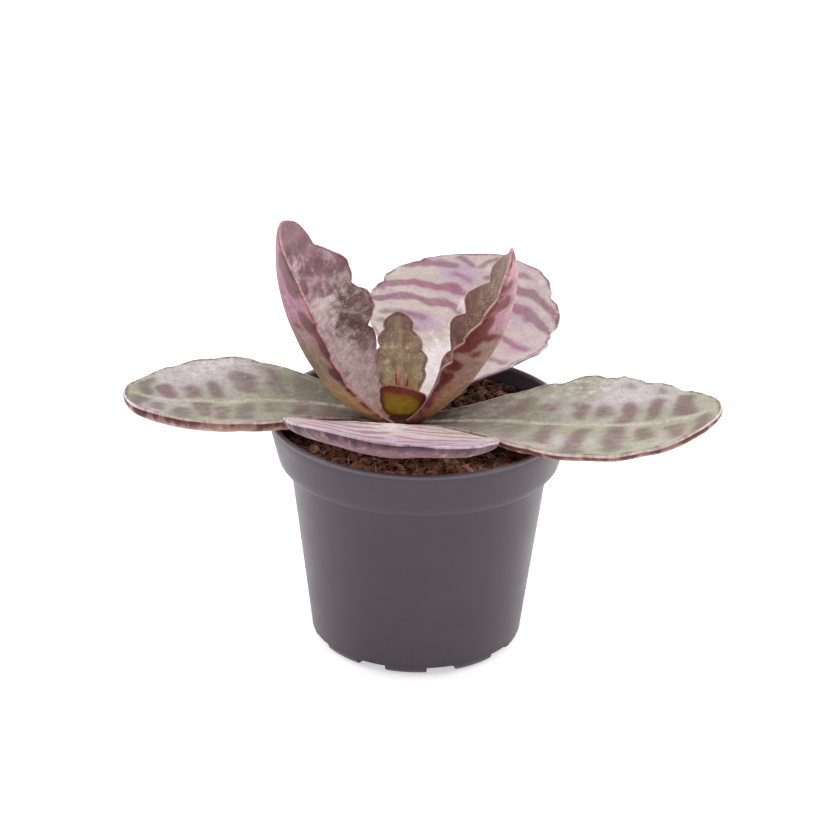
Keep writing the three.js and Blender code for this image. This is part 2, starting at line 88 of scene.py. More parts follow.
LEAVES = {
    "leaf_left": dict(
        base=(-9.8, -0.2, 66.1), length=74, width=45, thickness=4.3, petiole=0.24, flare=1.7, widest=0.62,
        pitch=(19, 11, -16, 23), heading=(182, 195, 197, 180), roll=(-2, -1, 0, 6),
        fold_left=(10, 7, 15, 4), fold_right=(11, 10, 18, 3),
        scallops=(6.5, 6), start=(0.1, 0.3), depth=(0.9, 0.9), look="spread", seed=1, shade=0.93,
        left=((17, 0.2, 0.9, 0.7), (25.5, 0.2, 0.8, 0.9), (34, 0.1, 0.6, 0.6), (40.5, 0.1, 0.9, 0.8),
              (46.5, 0.2, 0.9, 0.9), (52, 0.0, 0.75, 1.0), (57.5, 0.3, 0.95, 0.8), (63.5, 0.2, 0.8, 0.8),
              (69, 0.0, 0.9, 0.9)),
        right=((21, 0.3, 0.8, 0.7), (29, 0.2, 0.9, 0.8), (38, 0.2, 0.7, 0.9), (47, 0.1, 0.5, 0.8),
               (54, 0.1, 0.45, 0.9), (61, 0.05, 0.5, 1.0), (67, 0.1, 0.8, 0.9)),
        lean=0.12, stripe=2.5,
        lilac=((48, -16, 26, 8, 1.1), (64, 4, 8, 16, 0.5)), frost=((46, -19, 28, 5, 0.7),),
        brown=((74, -3, 5, 12, 0.2),)),
    "leaf_right": dict(
        base=(0.2, -2.2, 65.9), length=87.5, width=50, thickness=3.5, petiole=0.24, flare=1.5, widest=0.58,
        pitch=(13, 12, -10, 31), heading=(-22, -23, -21, 4), roll=(0, -1, 5, -7),
        fold_left=(4, 9, 16, 4), fold_right=(22, 9, 1, 4),
        scallops=(6.5, 6.5), start=(0.3, 0.0), depth=(1.8, 0.9), look="spread", seed=2, shade=1.05,
        left=((19, 0.1, 0.8, 1.1), (27.5, 0.2, 0.7, 1.0), (35.5, 0.28, 0.5, 0.8), (45, 0.1, 0.45, 0.9),
              (41, 0.66, 0.85, 0.7), (47, 0.48, 0.62, 0.7), (52, 0.16, 0.4, 0.8), (59.5, 0.02, 0.5, 1.0),
              (57, 0.75, 0.92, 0.6), (68, 0.1, 0.62, 1.0), (69, 0.7, 0.9, 0.7), (77, 0.1, 0.85, 1.0)),
        right=((21, 0.2, 0.8, 0.6), (31, 0.1, 0.9, 0.7), (39.5, 0.0, 0.75, 0.9), (49, 0.1, 1.0, 1.0),
               (58.5, 0.0, 0.9, 0.9), (66, 0.1, 0.6, 0.9), (74, 0.2, 0.85, 0.8), (81, 0.1, 1.0, 0.9)),
        lean=0.05, stripe=2.6,
        lilac=((60, 16, 30, 9, 1.0), (50, -17, 24, 5, 0.5)), frost=((44, 18, 18, 5, 0.5),),
        brown=((33, 4, 3, 3, -0.6), (52, 7, 5, 4, 0.8), (64, 8, 4, 4, 0.5), (20, 0, 14, 9, 0.55))),
    "leaf_front": dict(
        base=(-4.8, -7.4, 66.8), length=74.7, width=57, thickness=4, petiole=0.2, flare=1.57, widest=0.54,
        pitch=(29, 25, 2, 27), heading=(-101, -92, -86, -75), roll=(1, -4, 1, -1),
        fold_left=(8, -14, 1, -6), fold_right=(-8, 0, 10, 19),
        scallops=(6, 6), start=(0.2, 0.5), depth=(1.0, 1.0), look="pale", seed=3,
        left=((18, 0.1, 0.8, 0.6), (26, 0.1, 0.9, 0.8), (34.5, 0.0, 0.95, 1.0), (43, 0.1, 0.9, 0.9),
              (52, 0.0, 0.9, 1.0), (60.5, 0.0, 0.7, 0.9), (66, 0.3, 0.9, 0.8), (71, 0.0, 0.7, 0.9)),
        right=((21, 0.2, 0.8, 0.6), (29, 0.0, 0.9, 0.9), (38, 0.1, 0.95, 1.0), (46.5, 0.0, 0.8, 0.9),
               (54, 0.1, 0.95, 1.0), (61, 0.2, 0.9, 0.9), (67, 0.0, 0.8, 0.9), (72, 0.2, 0.9, 0.8)),
        lean=0.45, bow=0.024, stripe=1.5,
        lilac=((60, 8, 20, 20, 0.9), (40, -18, 20, 10, 0.7)),
        frost=((25, 0, 28, 5, 0.8), (72, 0, 7, 22, 0.7))),
    "leaf_back": dict(
        base=(-3.2, 2.9, 67.2), length=76, width=56, thickness=2.2, petiole=0.24, flare=1.4, widest=0.57,
        pitch=(2, 16, 30, 14), heading=(65, 69, 75, 89), roll=(0, 2, 3, -2),
        fold_left=(43, 19, 15, 6), fold_right=(43, 5, -3, 5),
        scallops=(5, 5), start=(0.5, 0.2), depth=(1.3, 2.1), look="pale", seed=4,
        left=((25, 0.3, 0.9, 0.6), (33, 0.4, 0.95, 0.7), (39.5, 0.35, 0.9, 0.8), (48, 0.05, 1.0, 1.15),
              (55.3, 0.05, 1.0, 1.15), (62, 0.0, 0.35, 0.6), (65.5, 0.3, 1.0, 0.85), (70.5, 0.0, 0.6, 0.7)),
        right=((27, 0.35, 0.9, 0.8), (37, 0.4, 0.85, 0.9), (49.5, 0.1, 0.98, 1.05), (57, 0.1, 1.0, 1.05),
               (63.5, 0.1, 0.8, 0.8), (69.5, 0.0, 0.8, 0.8)),
        lean=0.6, bow=0.031, stripe=1.6,
        lilac=((40, 11, 6, 5, 1.2), (66, 4, 9, 8, 0.8), (70, 12, 6, 10, 0.5), (46, -19, 34, 8, 0.55),
               (46, 24, 10, 4, 0.6)),
        frost=((24, 0, 26, 7, 1.5), (50, 1, 14, 3, 0.5))),
    "leaf_upright_left": dict(
        base=(-8.1, -3.2, 66.4), length=69.5, width=49.2, thickness=1.8, petiole=0.2, flare=1.15, widest=0.61,
        pitch=(22, 58, 77, 90), heading=(186, 172, 185, 177), roll=(-11, -8, 2, 3),
        fold_left=(57, 26, 34, 8), fold_right=(68, 64, 55, 11),
        scallops=(6, 4.5), start=(0.1, 0.3), depth=(2.6, 4.0), look="upright", seed=5,
        left=((13.5, 0.5, 1.1, 1.0), (21, 0.5, 1.1, 1.0), (28, 0.4, 1.1, 1.1), (34, 0.5, 1.1, 1.1),
              (40, 0.4, 1.1, 1.0), (47.5, 0.3, 1.1, 1.1), (55, 0.2, 1.1, 1.1), (61, 0.2, 1.1, 1.1),
              (66, 0.0, 1.1, 1.1)),
        right=((33, 0.55, 0.95, 0.7), (38.5, 0.5, 1.0, 0.8), (44.5, 0.25, 0.5, 0.6), (45.5, 0.7, 1.05, 0.95),
               (51, 0.3, 0.85, 1.1), (58.5, 0.2, 0.95, 0.9), (65, 0.1, 0.9, 0.8)),
        under=((20, 17.5, 4, 1.5, 0.9), (28, 20.5, 5, 2.8, 1.2), (38, 23.5, 9, 2.2, 1.0),
               (47, 18.5, 6, 4.8, 1.3), (63, 17, 8, 2, 1.0), (56, 13.5, 5, 5, 1.0), (61, 10, 5, 5, 0.8),
               (65.5, 12, 4, 4, 0.7), (43, 9, 3, 5, 0.5),
               (18, -15, 5, 2, 0.9), (27, -19, 5, 3, 1.1), (35, -22, 7, 3, 1.2), (45, -20, 6, 5, 1.2),
               (54, -16, 6, 5, 1.0), (62, -11, 5, 5, 0.9), (40, -9, 3, 6, 0.4)),
        lean=0.1, stripe=2.4,
        lilac=((50, -6, 18, 5, 0.9), (66, 0, 8, 14, 0.8)),
        frost=((22, -8, 24, 5, 1.25), (8, -5, 10, 3, 0.6), (38, -8, 8, 5, 0.9), (41, -14, 4, 8, 0.8),
               (55, -7, 5, 5, 0.6)),
        brown=((29, -17, 16, 6, 1.3), (42, -21, 10, 4, 0.8), (53, -19, 6, 3, 0.5))),
    "leaf_upright_right": dict(
        base=(-1.5, -3.4, 66.4), length=61, width=33, thickness=1.8, petiole=0.24, flare=1.8, widest=0.62,
        pitch=(40, 49, 68, 99), heading=(-18, 4, 10, 6), roll=(-2, -1, -3, -7),
        fold_left=(65, 57, 36, 2), fold_right=(68, 60, 43, 12),
        scallops=(5, 7), start=(0.2, 0.1), depth=(3.6, 2.1), look="upright_brown", seed=6,
        left=((24, 0.2, 0.8, 0.7), (32, 0.3, 0.9, 0.8), (40, 0.2, 0.9, 0.8), (48, 0.1, 0.9, 0.8),
              (55, 0.0, 0.8, 0.8)),
        right=((12, 0.5, 1.1, 0.9), (18.5, 0.5, 1.1, 1.0), (25.5, 0.4, 1.1, 1.1), (32, 0.4, 1.1, 1.1),
               (38, 0.4, 1.1, 1.1), (44.5, 0.3, 1.1, 1.1), (50, 0.2, 1.1, 1.0), (55.5, 0.0, 1.1, 0.9)),
        under=((15, -8.5, 5, 1.6, 0.8), (20, -10.5, 4, 2.5, 0.9), (25, -12.5, 4, 3, 1.0), (31, -8, 5, 3, 0.5),
               (33, -15, 5, 3, 1.3), (38.5, -15.5, 6, 3.5, 1.6), (37, -7, 3, 6, 0.7),
               (43.5, -13.5, 4, 3, 1.1), (48.5, -9, 4, 7, 0.9), (54, -9, 4, 5, 0.8), (18, 9, 4, 2, 0.8),
               (25, 12, 4, 3, 1.0), (31, 14, 5, 3, 1.1), (40, 15.5, 6, 4, 1.2), (47, 12, 4, 5, 1.0),
               (53, 9, 4, 5, 0.8)),
        lean=0.1, stripe=2.0,
        lilac=((57, 0, 6, 8, 1.0),), frost=((18, 6, 14, 5, 0.9),),
        brown=((42, 6, 24, 5, 1.3), (30, 3, 12, 5, 0.8))),
    "leaf_young_back": dict(
        base=(-4.9, 0.1, 69.9), length=27, width=14.5, thickness=1.1, petiole=0.5, flare=1.7, widest=0.37,
        pitch=(58, 45, 49, 65), heading=(91, 97, 103, 96), roll=(-3, -2, 3, 7),
        fold_left=(38, 20, 10, 7), fold_right=(43, 22, 0, -14),
        scallops=(5.5, 4.5), start=(0.5, 0.4), depth=(1.4, 1.2), look="young", seed=7,
        left=((16, 0.2, 0.8, 0.5), (21, 0.2, 0.9, 0.6)), right=((14, 0.3, 0.9, 0.5), (19, 0.1, 0.8, 0.6)),
        stripe=1.4,
        lilac=((24, 0, 9, 7, 1.2),), frost=((15, 2, 10, 5, 0.45),), brown=((14, 0, 14, 8, 1.0),)),
    "leaf_young_front": dict(
        base=(-4.9, -4.9, 69.2), length=10.4, width=13.6, thickness=1.1, petiole=0.6, flare=0.75, widest=0.59,
        pitch=(70, 77, 76, 73), heading=(-92, -93, -98, -97), roll=(1, 0, -4, -6),
        fold_left=(15, 27, 17, 1), fold_right=(13, 29, 30, 23),
        scallops=(3, 3), start=(0.4, 0.4), depth=(0.3, 0.3), look="young_green", seed=8,
        left=((9.2, 0.0, 1.1, 1.2),), right=((9.0, 0.0, 1.1, 1.2),), lean=-0.12, stripe=1.3,
        under=((4, 7, 9, 2.2, 0.9), (4, -7, 9, 2.2, 0.9), (9.5, 0, 3, 9, 0.9), (7, 4.5, 3, 2, 0.5))),
    "leaf_bud_left": dict(
        BUD, base=(-5.25, -2.2, 72), length=9.3, thickness=1.3, pitch=(92, 84, 80, 84),
        heading=(180, 180, 180, 180), seed=9),
    "leaf_bud_right": dict(
        BUD, base=(-4.85, -2.2, 72), length=8.3, thickness=1.2, pitch=(92, 86, 82, 86),
        heading=(0, 0, 0, 0), seed=10),
}

# Colours of each kind of leaf. The first two rows are the upper face's and the third the lower face's,
# with flank along its margin. The rest are the margin's. net, speckle, mottle and fuzz say how strong the
# pale veins, the specks, the light and dark patches and the finest grains are, and softness how soft the
# markings' edges are. root_end and rib_end are shares of the length. Fewer dark spots lie along the margin
# below where spots is higher.
LOOKS = {
    "spread": dict(
        ground="b0ae96", lilac="cac0c2", root="3c3324", foot="382a22", stripe="7c6964", warm="846260",
        rib="d4ccb8", frost="dcd6d4", brown="77604e",
        under="a87e72", under_mid="9e7868", under_blotch="5a2a28", under_root="6e6040", flank="54291f",
        rim="dcc4c0", dash="521f27", net=0.15, speckle=0.35, softness=0.2, mottle=0.8, fuzz=0.25,
        root_end=0.62, rib_end=1.1, spots=0.5),
    "pale": dict(
        ground="cbbbb2", lilac="b99db0", root="dccfd4", foot="b89c96", stripe="8b6474", warm="9c5f79",
        rib="dcd2d6", frost="e9dfe2", brown="8a6a60",
        under="744c54", under_mid="6a4c4e", under_blotch="4a2a3a", under_root="4c4238", flank="52323c",
        rim="c8b2ba", dash="462c42", net=0.06, speckle=0.12, softness=0.1, mottle=0.5, fuzz=0.2,
        root_end=0.36, rib_end=0.62, spots=0.47),
    "upright": dict(
        ground="8c5c6a", lilac="9e6a80", root="ecd2c8", foot="b4886c", stripe="644347", warm="744552",
        rib="b09a9a", frost="e2d2ce", brown="735a48",
        under="956076", under_mid="82695a", under_blotch="541c22", under_root="f0c484", flank="a8645c",
        rim="c6a2a6", dash="6a2833", net=0.38, speckle=0.5, softness=0.2, mottle=1.0, fuzz=0.5, root_end=0.5,
        rib_end=1.1, spots=0.62),
    "upright_brown": dict(
        ground="6a4232", lilac="a58082", root="a88e82", foot="7c4c38", stripe="623e2e", warm="6c3f32",
        rib="8a6c5a", frost="c6a686", brown="6e4a34",
        under="b48492", under_mid="b09084", under_blotch="6a1f20", under_root="c8946a", flank="8c4244",
        rim="c6a29e", dash="783438", net=0.15, speckle=0.9, softness=0.2, mottle=1.0, fuzz=0.5, root_end=0.4,
        rib_end=1.1, spots=0.62),
    "young": dict(
        ground="a58c74", lilac="8a6864", root="b3a056", foot="7a5a2c", stripe="7f6752", warm="80604e",
        rib="b0a080", frost="d2c2a8", brown="957c5a",
        under="93803f", under_mid="93803f", under_blotch="7a4438", under_root="8a7a24", flank="8a5a48",
        rim="ac8a7c", dash="4c2c30", net=0.2, speckle=0.55, softness=0.3, mottle=1.1, fuzz=1.0, root_end=0.5,
        rib_end=1.1, spots=0.6),
    "young_green": dict(
        ground="94802f", lilac="8a6a40", root="8a7a1c", foot="6a3420", stripe="7c3f34", warm="8a4a3e",
        rib="9c8a34", frost="a09060", brown="74602c",
        under="ac9620", under_mid="ac9620", under_blotch="84402f", under_root="a8781c", flank="944e3a",
        rim="b46e60", dash="6a2c2a", net=0.1, speckle=0.2, softness=0.3, mottle=0.8, fuzz=0.4, root_end=0.3,
        rib_end=1.1, spots=0.7),
    "bud": dict(
        ground="b8705e", lilac="c08070", root="a06a48", foot="8a5030", stripe="a85a50", warm="b05a50",
        rib="c08070", frost="d09a88", brown="a05a48",
        under="c07458", under_mid="c07458", under_blotch="a84c40", under_root="a07040", flank="b86050",
        rim="e0a290", dash="b0503e", net=0.1, speckle=0.2, softness=0.3, mottle=0.8, fuzz=0.4, root_end=0.36,
        rib_end=1.1, spots=0.6),
}

BLADE = dict(
    rows=220, columns=72,  # steps along and across a large leaf
    small_rows=100, small_columns=44,
    small_length=30,
    crease=3.0,  # half-width of the rounded channel along the midrib
    edge=0.4,  # thickness of the very margin
    bulge=7,  # how squarely the flank rounds off to the margin
    tip_taper=0.93,
    root_taper=0.4,  # how much thinner the blade is where it starts
    root_length=0.3,
    tip_half_width=0.35,
    arc_steps=16, rib_steps=240,
    ripple=0.35, ripple_size=9.0,  # the gentle swell of the blade
    blister=0.10, blister_size=2.6,
    ragged=0.45, ragged_size=2.2,  # small irregularities of the margin
    lobe_start=0.22,  # where the scallops begin, as a share of the length
    lobe_rise=0.2, lobe_end=0.06,  # over what share of the length they swell and end
    mean_lobe=0.64,  # mean height of a scallop as a share of its depth
    deep=1.5,  # a scallop this deep has the full raggedness
    smooth_root=(0.12, 0.35),  # the blade is smooth where it joins the stem
    full_ripple_width=40,  # narrower leaves swell less
    sway=((1.3, 9, 6), (0.7, 3, 2.5)),  # how far stripes wander, in swells so long and so broad
    fade_in=0.07, fade_out=0.09,  # how softly a stripe begins and ends on its way to the margin
    falloff=0.7,  # how fast stripes and clouds fade from their middle
)


def along(controls, u):
    """A value that changes from the base to the tip, from its four controls."""
    a, b, c, d = controls
    w = 1 - u
    return w ** 3 * a + 3 * w * w * u * b + 3 * w * u * u * c + u ** 3 * d


def smooth(value, low, high):
    """0 below low, 1 above high and an even curve between them."""
    t = np.clip((value - low) / (high - low), 0, 1)
    return t * t * (3 - 2 * t)


def ripples(x, y, seed):
    """Soft random swells between -1 and 1, one to a unit of x and y."""
    cells = 64
    lattice = np.random.default_rng(seed).uniform(-1, 1, (cells, cells))
    x, y = np.broadcast_arrays(x, y)
    i, j = np.floor(x).astype(int), np.floor(y).astype(int)
    s, t = smooth(x - i, 0, 1), smooth(y - j, 0, 1)
    corner = [[lattice[(i + a) % cells, (j + b) % cells] for b in (0, 1)] for a in (0, 1)]
    low = corner[0][0] * (1 - t) + corner[0][1] * t
    high = corner[1][0] * (1 - t) + corner[1][1] * t
    return low * (1 - s) + high * s


def half_width(leaf, u):
    """Half the flat width of the blade, before its scallops."""
    rise = np.sin(np.pi / 2 * np.clip(u / leaf["widest"], 0, 1)) ** leaf["flare"]
    t = np.clip((u - leaf["widest"]) / (1 - leaf["widest"]), 0, 1)
    shape = np.where(u < leaf["widest"], leaf["petiole"] + (1 - leaf["petiole"]) * rise, np.sqrt(1 - t * t))
    return leaf["width"] / 2 * shape


def scallop(leaf, u, side):
    """The scallops of one margin: round lobes with a sharp notch between them, a little ragged."""
    rise = np.clip((u - BLADE["lobe_start"]) / BLADE["lobe_rise"], 0, 1)
    fade = rise * np.sqrt(np.clip((1 - u) / BLADE["lobe_end"], 0, 1))
    lobe = np.abs(np.sin(np.pi * (leaf["scallops"][side] * u + leaf["start"][side])))
    rough = BLADE["ragged"] * min(1.0, leaf["depth"][side] / BLADE["deep"])
    ragged = ripples(u * leaf["length"] / BLADE["ragged_size"], 7.0 + side, leaf["seed"]) * rough
    return (leaf["depth"][side] * (lobe - BLADE["mean_lobe"]) + ragged) * fade


def frame_along(leaf, u):
    """The midrib's direction, the upper face's normal and the direction to the left margin."""
    pitch, heading, roll = (np.radians(along(leaf[k], u)) for k in ("pitch", "heading", "roll"))
    level = np.zeros_like(u)
    forward = np.stack([np.cos(heading) * np.cos(pitch), np.sin(heading) * np.cos(pitch), np.sin(pitch)], -1)
    left = np.stack([-np.sin(heading), np.cos(heading), level], -1)
    normal = np.cross(forward, left)
    c, s = np.cos(roll)[:, None], np.sin(roll)[:, None]
    return forward, c * normal - s * left, c * left + s * normal


def midrib(leaf, u):
    """Points of the midrib at u."""
    steps = BLADE["rib_steps"]
    middle = (np.arange(steps) + 0.5) / steps
    forward, _, _ = frame_along(leaf, middle)
    points = np.vstack([[0, 0, 0], np.cumsum(forward, 0) * leaf["length"] / steps]) + np.array(leaf["base"])
    at = np.linspace(0, 1, steps + 1)
    return np.stack([np.interp(u, at, points[:, k]) for k in range(3)], -1)


def thickness_at(leaf, u, v):
    """Full in the middle, rounded off to the margin and to the tip."""
    root = 1 - BLADE["root_taper"] * (1 - np.clip(u / BLADE["root_length"], 0, 1)) ** 2
    full = leaf["thickness"] * root * np.sqrt(1 - BLADE["tip_taper"] * u ** 12)
    bulge = np.sqrt(np.clip(1 - np.abs(v) ** BLADE["bulge"], 0, 1))
    return BLADE["edge"] + np.maximum(full - BLADE["edge"], 0) * bulge


def blade_grid(leaf):
    """Upper and lower points of the blade on a grid, and where each lies: millimetres along the leaf,
    across it and in from the margin."""
    small = leaf["length"] < BLADE["small_length"]
    rows = BLADE["small_rows"] if small else BLADE["rows"]
    columns = BLADE["small_columns"] if small else BLADE["columns"]
    tip_crowding = 1.5
    u = 1 - (1 - np.linspace(0, 1, rows + 1)) ** tip_crowding
    v = np.sin(np.pi / 2 * np.linspace(-1, 1, columns + 1))
    _, normal, left = frame_along(leaf, u)
    rib = midrib(leaf, u)
    length = u * leaf["length"]
    free = smooth(u, *BLADE["smooth_root"]) * min(1.0, leaf["width"] / BLADE["full_ripple_width"])
    upper = np.zeros((rows + 1, columns + 1, 3))
    lower = np.zeros_like(upper)
    place = np.zeros_like(upper)
    for j, vj in enumerate(v):
        side = 0 if vj >= 0 else 1
        outward = 1 if vj >= 0 else -1
        width = np.maximum(half_width(leaf, u) + scallop(leaf, u, side), BLADE["tip_half_width"])
        fold = np.radians(along(leaf["fold_left" if vj >= 0 else "fold_right"], u))
        reach = abs(vj) * width
        sideways = np.zeros_like(u)
        upward = np.zeros_like(u)
        for k in range(BLADE["arc_steps"]):
            angle = fold * np.tanh(reach * (k + 0.5) / BLADE["arc_steps"] / BLADE["crease"])
            sideways += np.cos(angle) * reach / BLADE["arc_steps"]
            upward += np.sin(angle) * reach / BLADE["arc_steps"]
        angle = fold * np.tanh(reach / BLADE["crease"])
        across = outward * reach
        swell, blister = (
            ripples(length / BLADE[size], across / BLADE[size] + 20, leaf["seed"] + more)
            for size, more in (("ripple_size", 0), ("blister_size", 30)))
        point = rib + left * (outward * sideways)[:, None] + normal * upward[:, None]
        up = normal * np.cos(angle)[:, None] - left * (outward * np.sin(angle))[:, None]
        point = point + up * (free * BLADE["ripple"] * swell)[:, None]
        upper[:, j] = point + up * (free * BLADE["blister"] * blister)[:, None]
        lower[:, j] = point - up * thickness_at(leaf, u, vj)[:, None]
        place[:, j, 0] = length
        place[:, j, 1] = across
        place[:, j, 2] = np.minimum(width - reach, leaf["length"] - length)
    return upper, lower, place, u, v


def stripe_field(leaf, length, across, reach):
    """How near each point lies to a stripe, from 1 at its middle to 0. reach is the share of the way
    from the midrib to the margin."""
    field = np.zeros_like(length)
    sway = np.zeros_like(length)
    for k, (far, long, broad) in enumerate(BLADE["sway"]):
        sway += far * ripples(length / long, across / broad + 30, leaf["seed"] + 60 + k)
    out = np.abs(across)
    for side, stripes in ((1, leaf["left"]), (-1, leaf["right"])):
        for at, start, end, strength in stripes:
            centre = at + leaf["lean"] * out - leaf["bow"] * out ** 2
            off = (length + sway - centre) / leaf["stripe"]
            window = smooth(reach, start - BLADE["fade_in"], start + BLADE["fade_in"])
            window *= 1 - smooth(reach, end - BLADE["fade_out"], end + BLADE["fade_out"])
            here = np.where(side * across >= 0, 1.0, 0.0)
            field = np.maximum(field, strength * np.exp(-BLADE["falloff"] * off ** 2) * window * here)
    return field


def cloud_field(clouds, length, across):
    """The strength of a leaf's clouds at each point."""
    field = np.zeros_like(length)
    for at, beside, long, broad, strength in clouds:
        off = ((length - at) / (long / 2)) ** 2 + ((across - beside) / broad) ** 2
        field += strength * np.exp(-BLADE["falloff"] * off)
    return field


def grid_faces(rows, columns):
    """Quads of a closed blade: the upper face, the lower face and the strips round the edge."""
    line = columns + 1
    half = (rows + 1) * line
    faces = []
    for i in range(rows):
        for j in range(columns):
            a, b, c, d = i * line + j, (i + 1) * line + j, (i + 1) * line + j + 1, i * line + j + 1
            faces.append((a, b, c, d))
            faces.append((half + a, half + d, half + c, half + b))
    rim = [i * line for i in range(rows + 1)] + [rows * line + j for j in range(1, line)]
    rim += [i * line + columns for i in range(rows - 1, -1, -1)] + list(range(columns - 1, 0, -1))
    for a, b in zip(rim, rim[1:] + rim[:1]):
        faces.append((b, a, half + a, half + b))
    return faces


def mesh_piece(name, points, faces, materials=()):
    """A smooth-shaded mesh object from points in millimetres."""
    mesh = bpy.data.meshes.new(name)
    mesh.from_pydata((np.asarray(points, float) * MM).tolist(), [], faces)
    mesh.update()
    for polygon in mesh.polygons:
        polygon.use_smooth = True
    piece = bpy.data.objects.new(name, mesh)
    bpy.context.scene.collection.objects.link(piece)
    for material in materials:
        mesh.materials.append(material)
    return piece


def add_vector(mesh, name, values):
    """Stores one vector at each point of a mesh, for its material to read."""
    layer = mesh.attributes.new(name, "FLOAT_VECTOR", "POINT")
    layer.data.foreach_set("vector", np.asarray(values, np.float32).ravel())


def leaf_piece(name, leaf, material):
    """One leaf, which stands for its CAD node."""
    upper, lower, place, u, v = blade_grid(leaf)
    points = np.vstack([upper.reshape(-1, 3), lower.reshape(-1, 3)])
    piece = mesh_piece(name + "_blade", points, grid_faces(len(u) - 1, len(v) - 1), [material])
    length, across, inside = place[..., 0], place[..., 1], place[..., 2]
    marks = stripe_field(leaf, length, across, np.abs(v)[None, :] * np.ones_like(length))
    faint = 0.3 if leaf["under"] else 0.6  # how much of the stripes shows through to the lower face
    marks_below = np.maximum(faint * marks, cloud_field(leaf["under"], length, across))
    one, none = np.ones_like(length), np.zeros_like(length)
    tint = np.stack([cloud_field(leaf[k], length, across) for k in ("lilac", "frost", "brown")], -1)
    below = np.hypot(inside, thickness_at(leaf, u[:, None], v[None, :]) - BLADE["edge"])
    add_vector(piece.data, "place", np.concatenate([place, np.stack([length, across, below], -1)]))
    add_vector(piece.data, "marks", np.concatenate([
        np.stack([one, marks, none], -1), np.stack([none, marks_below, none], -1)]))
    add_vector(piece.data, "tint", np.concatenate([tint, tint]))
    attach(piece, "root")
    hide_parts(name)
    return piece


# Materials

# What leaf_piece stores at each point of a leaf, as three vectors, and its material reads
LEAF_MAPS = {
    "place": ("length", "across", "inside"),  # millimetres from the base, to the left and in from the margin
    "marks": ("upper", "near_stripe"),  # 1 on the upper face, and 1 in the middle of a stripe
    "tint": ("lilac", "frost", "brown"),  # the strength of the clouds
}

# Noises on that map: how long and how broad their patches are in millimetres, and their detail
LEAF_NOISES = {
    "cloud": (13, 17, 2.5), "weave": (9, 7, 1.2), "blotch": (4.2, 6.5, 2.5), "patch": (2.6, 3.0, 3.0),
    "streak": (5.5, 1.6, 2.5), "fleck": (1.1, 1.4, 3.0), "fuzz": (1.0, 0.65, 3.0), "speck": (0.6, 0.6, 2.0),
    "grain": (0.4, 0.4, 2.0),
}
NOISE_APART = 37.0  # between the noises of one leaf and the next, so that no two leaves are alike


def new_material(name):
    """An empty node material, and the function that adds nodes to it."""
    material = bpy.data.materials.new(name)
    material.use_nodes = True
    material.node_tree.nodes.clear()
    return material, partial(add, material.node_tree)


def add(tree, kind, inputs=(), **settings):
    """Adds a node with its settings, and sets or links its inputs, given by name or in the order of its
    sockets. A node given as an input is linked by its first enabled output."""
    made = tree.nodes.new("ShaderNode" + kind)
    for key, value in settings.items():
        setattr(made, key, value)
    for key, value in inputs.items() if isinstance(inputs, dict) else enumerate(inputs):
        if isinstance(value, bpy.types.Node):
            value = next(o for o in value.outputs if o.enabled)
        if isinstance(value, bpy.types.NodeSocket):
            tree.links.new(value, made.inputs[key])
        else:
            made.inputs[key].default_value = value
    return made


def total(node, base, *layers):
    """The base, and each layer's value times its strength."""
    for value, strength in layers:
        base = node("Math", (value, strength, base), operation="MULTIPLY_ADD")
    return base


def share(node, *ramps):
    """Where all the ramps meet. A ramp is (value, low, high) and rises softly from 0 at low to 1 at high,
    or from bottom to top where it goes on with these two."""
    whole = None
    for ramp in ramps:
        step = node("MapRange", ramp, interpolation_type="SMOOTHSTEP")
        whole = step if whole is None else node("Math", (whole, step), operation="MULTIPLY")
    return whole


def painted(node, skin, *coats):
    """Lays coats of colour over the skin. A coat is (share, colour)."""
    for covering, colour in coats:
        skin = node("Mix", {0: covering, MIX_A: skin, MIX_B: colour}, data_type="RGBA")
    return skin


def leaf_map(node, leaf):
    """The leaf's stored maps and the noises on them, by name."""
    on = {}
    for stored, names in LEAF_MAPS.items():
        parts = node("SeparateXYZ", [node("Attribute", attribute_name=stored).outputs["Vector"]])
        on.update(zip(names, parts.outputs))
    flat = node("CombineXYZ", (on["length"], on["across"], NOISE_APART * leaf["seed"]))
    for name, (long, broad, detail) in LEAF_NOISES.items():
        at = node("VectorMath", (flat, (1 / long, 1 / broad, 1.0)), operation="MULTIPLY")
        on[name] = node("TexNoise", {"Vector": at, "Scale": 1.0, "Detail": detail, "Roughness": 0.6})
    return SimpleNamespace(**on)


def leaf_marks(node, on, look, settings):
    """The shares of the stripes and of the blotches below, their edges broken by three sizes of noise."""
    layers = ((on.blotch, 0.75), (on.patch, 1.0), (on.fleck, 0.3))
    edge = 0.5 + sum(strength for _, strength in layers) / 2
    broken = total(node, on.near_stripe, *layers)
    soft = look["softness"] + settings.stripe_softness
    stripe = share(node, (broken, edge - soft, edge + soft, 0.0, settings.stripe_strength))
    return stripe, share(node, (broken, edge - 0.22, edge + 0.24, 0.0, 0.92))


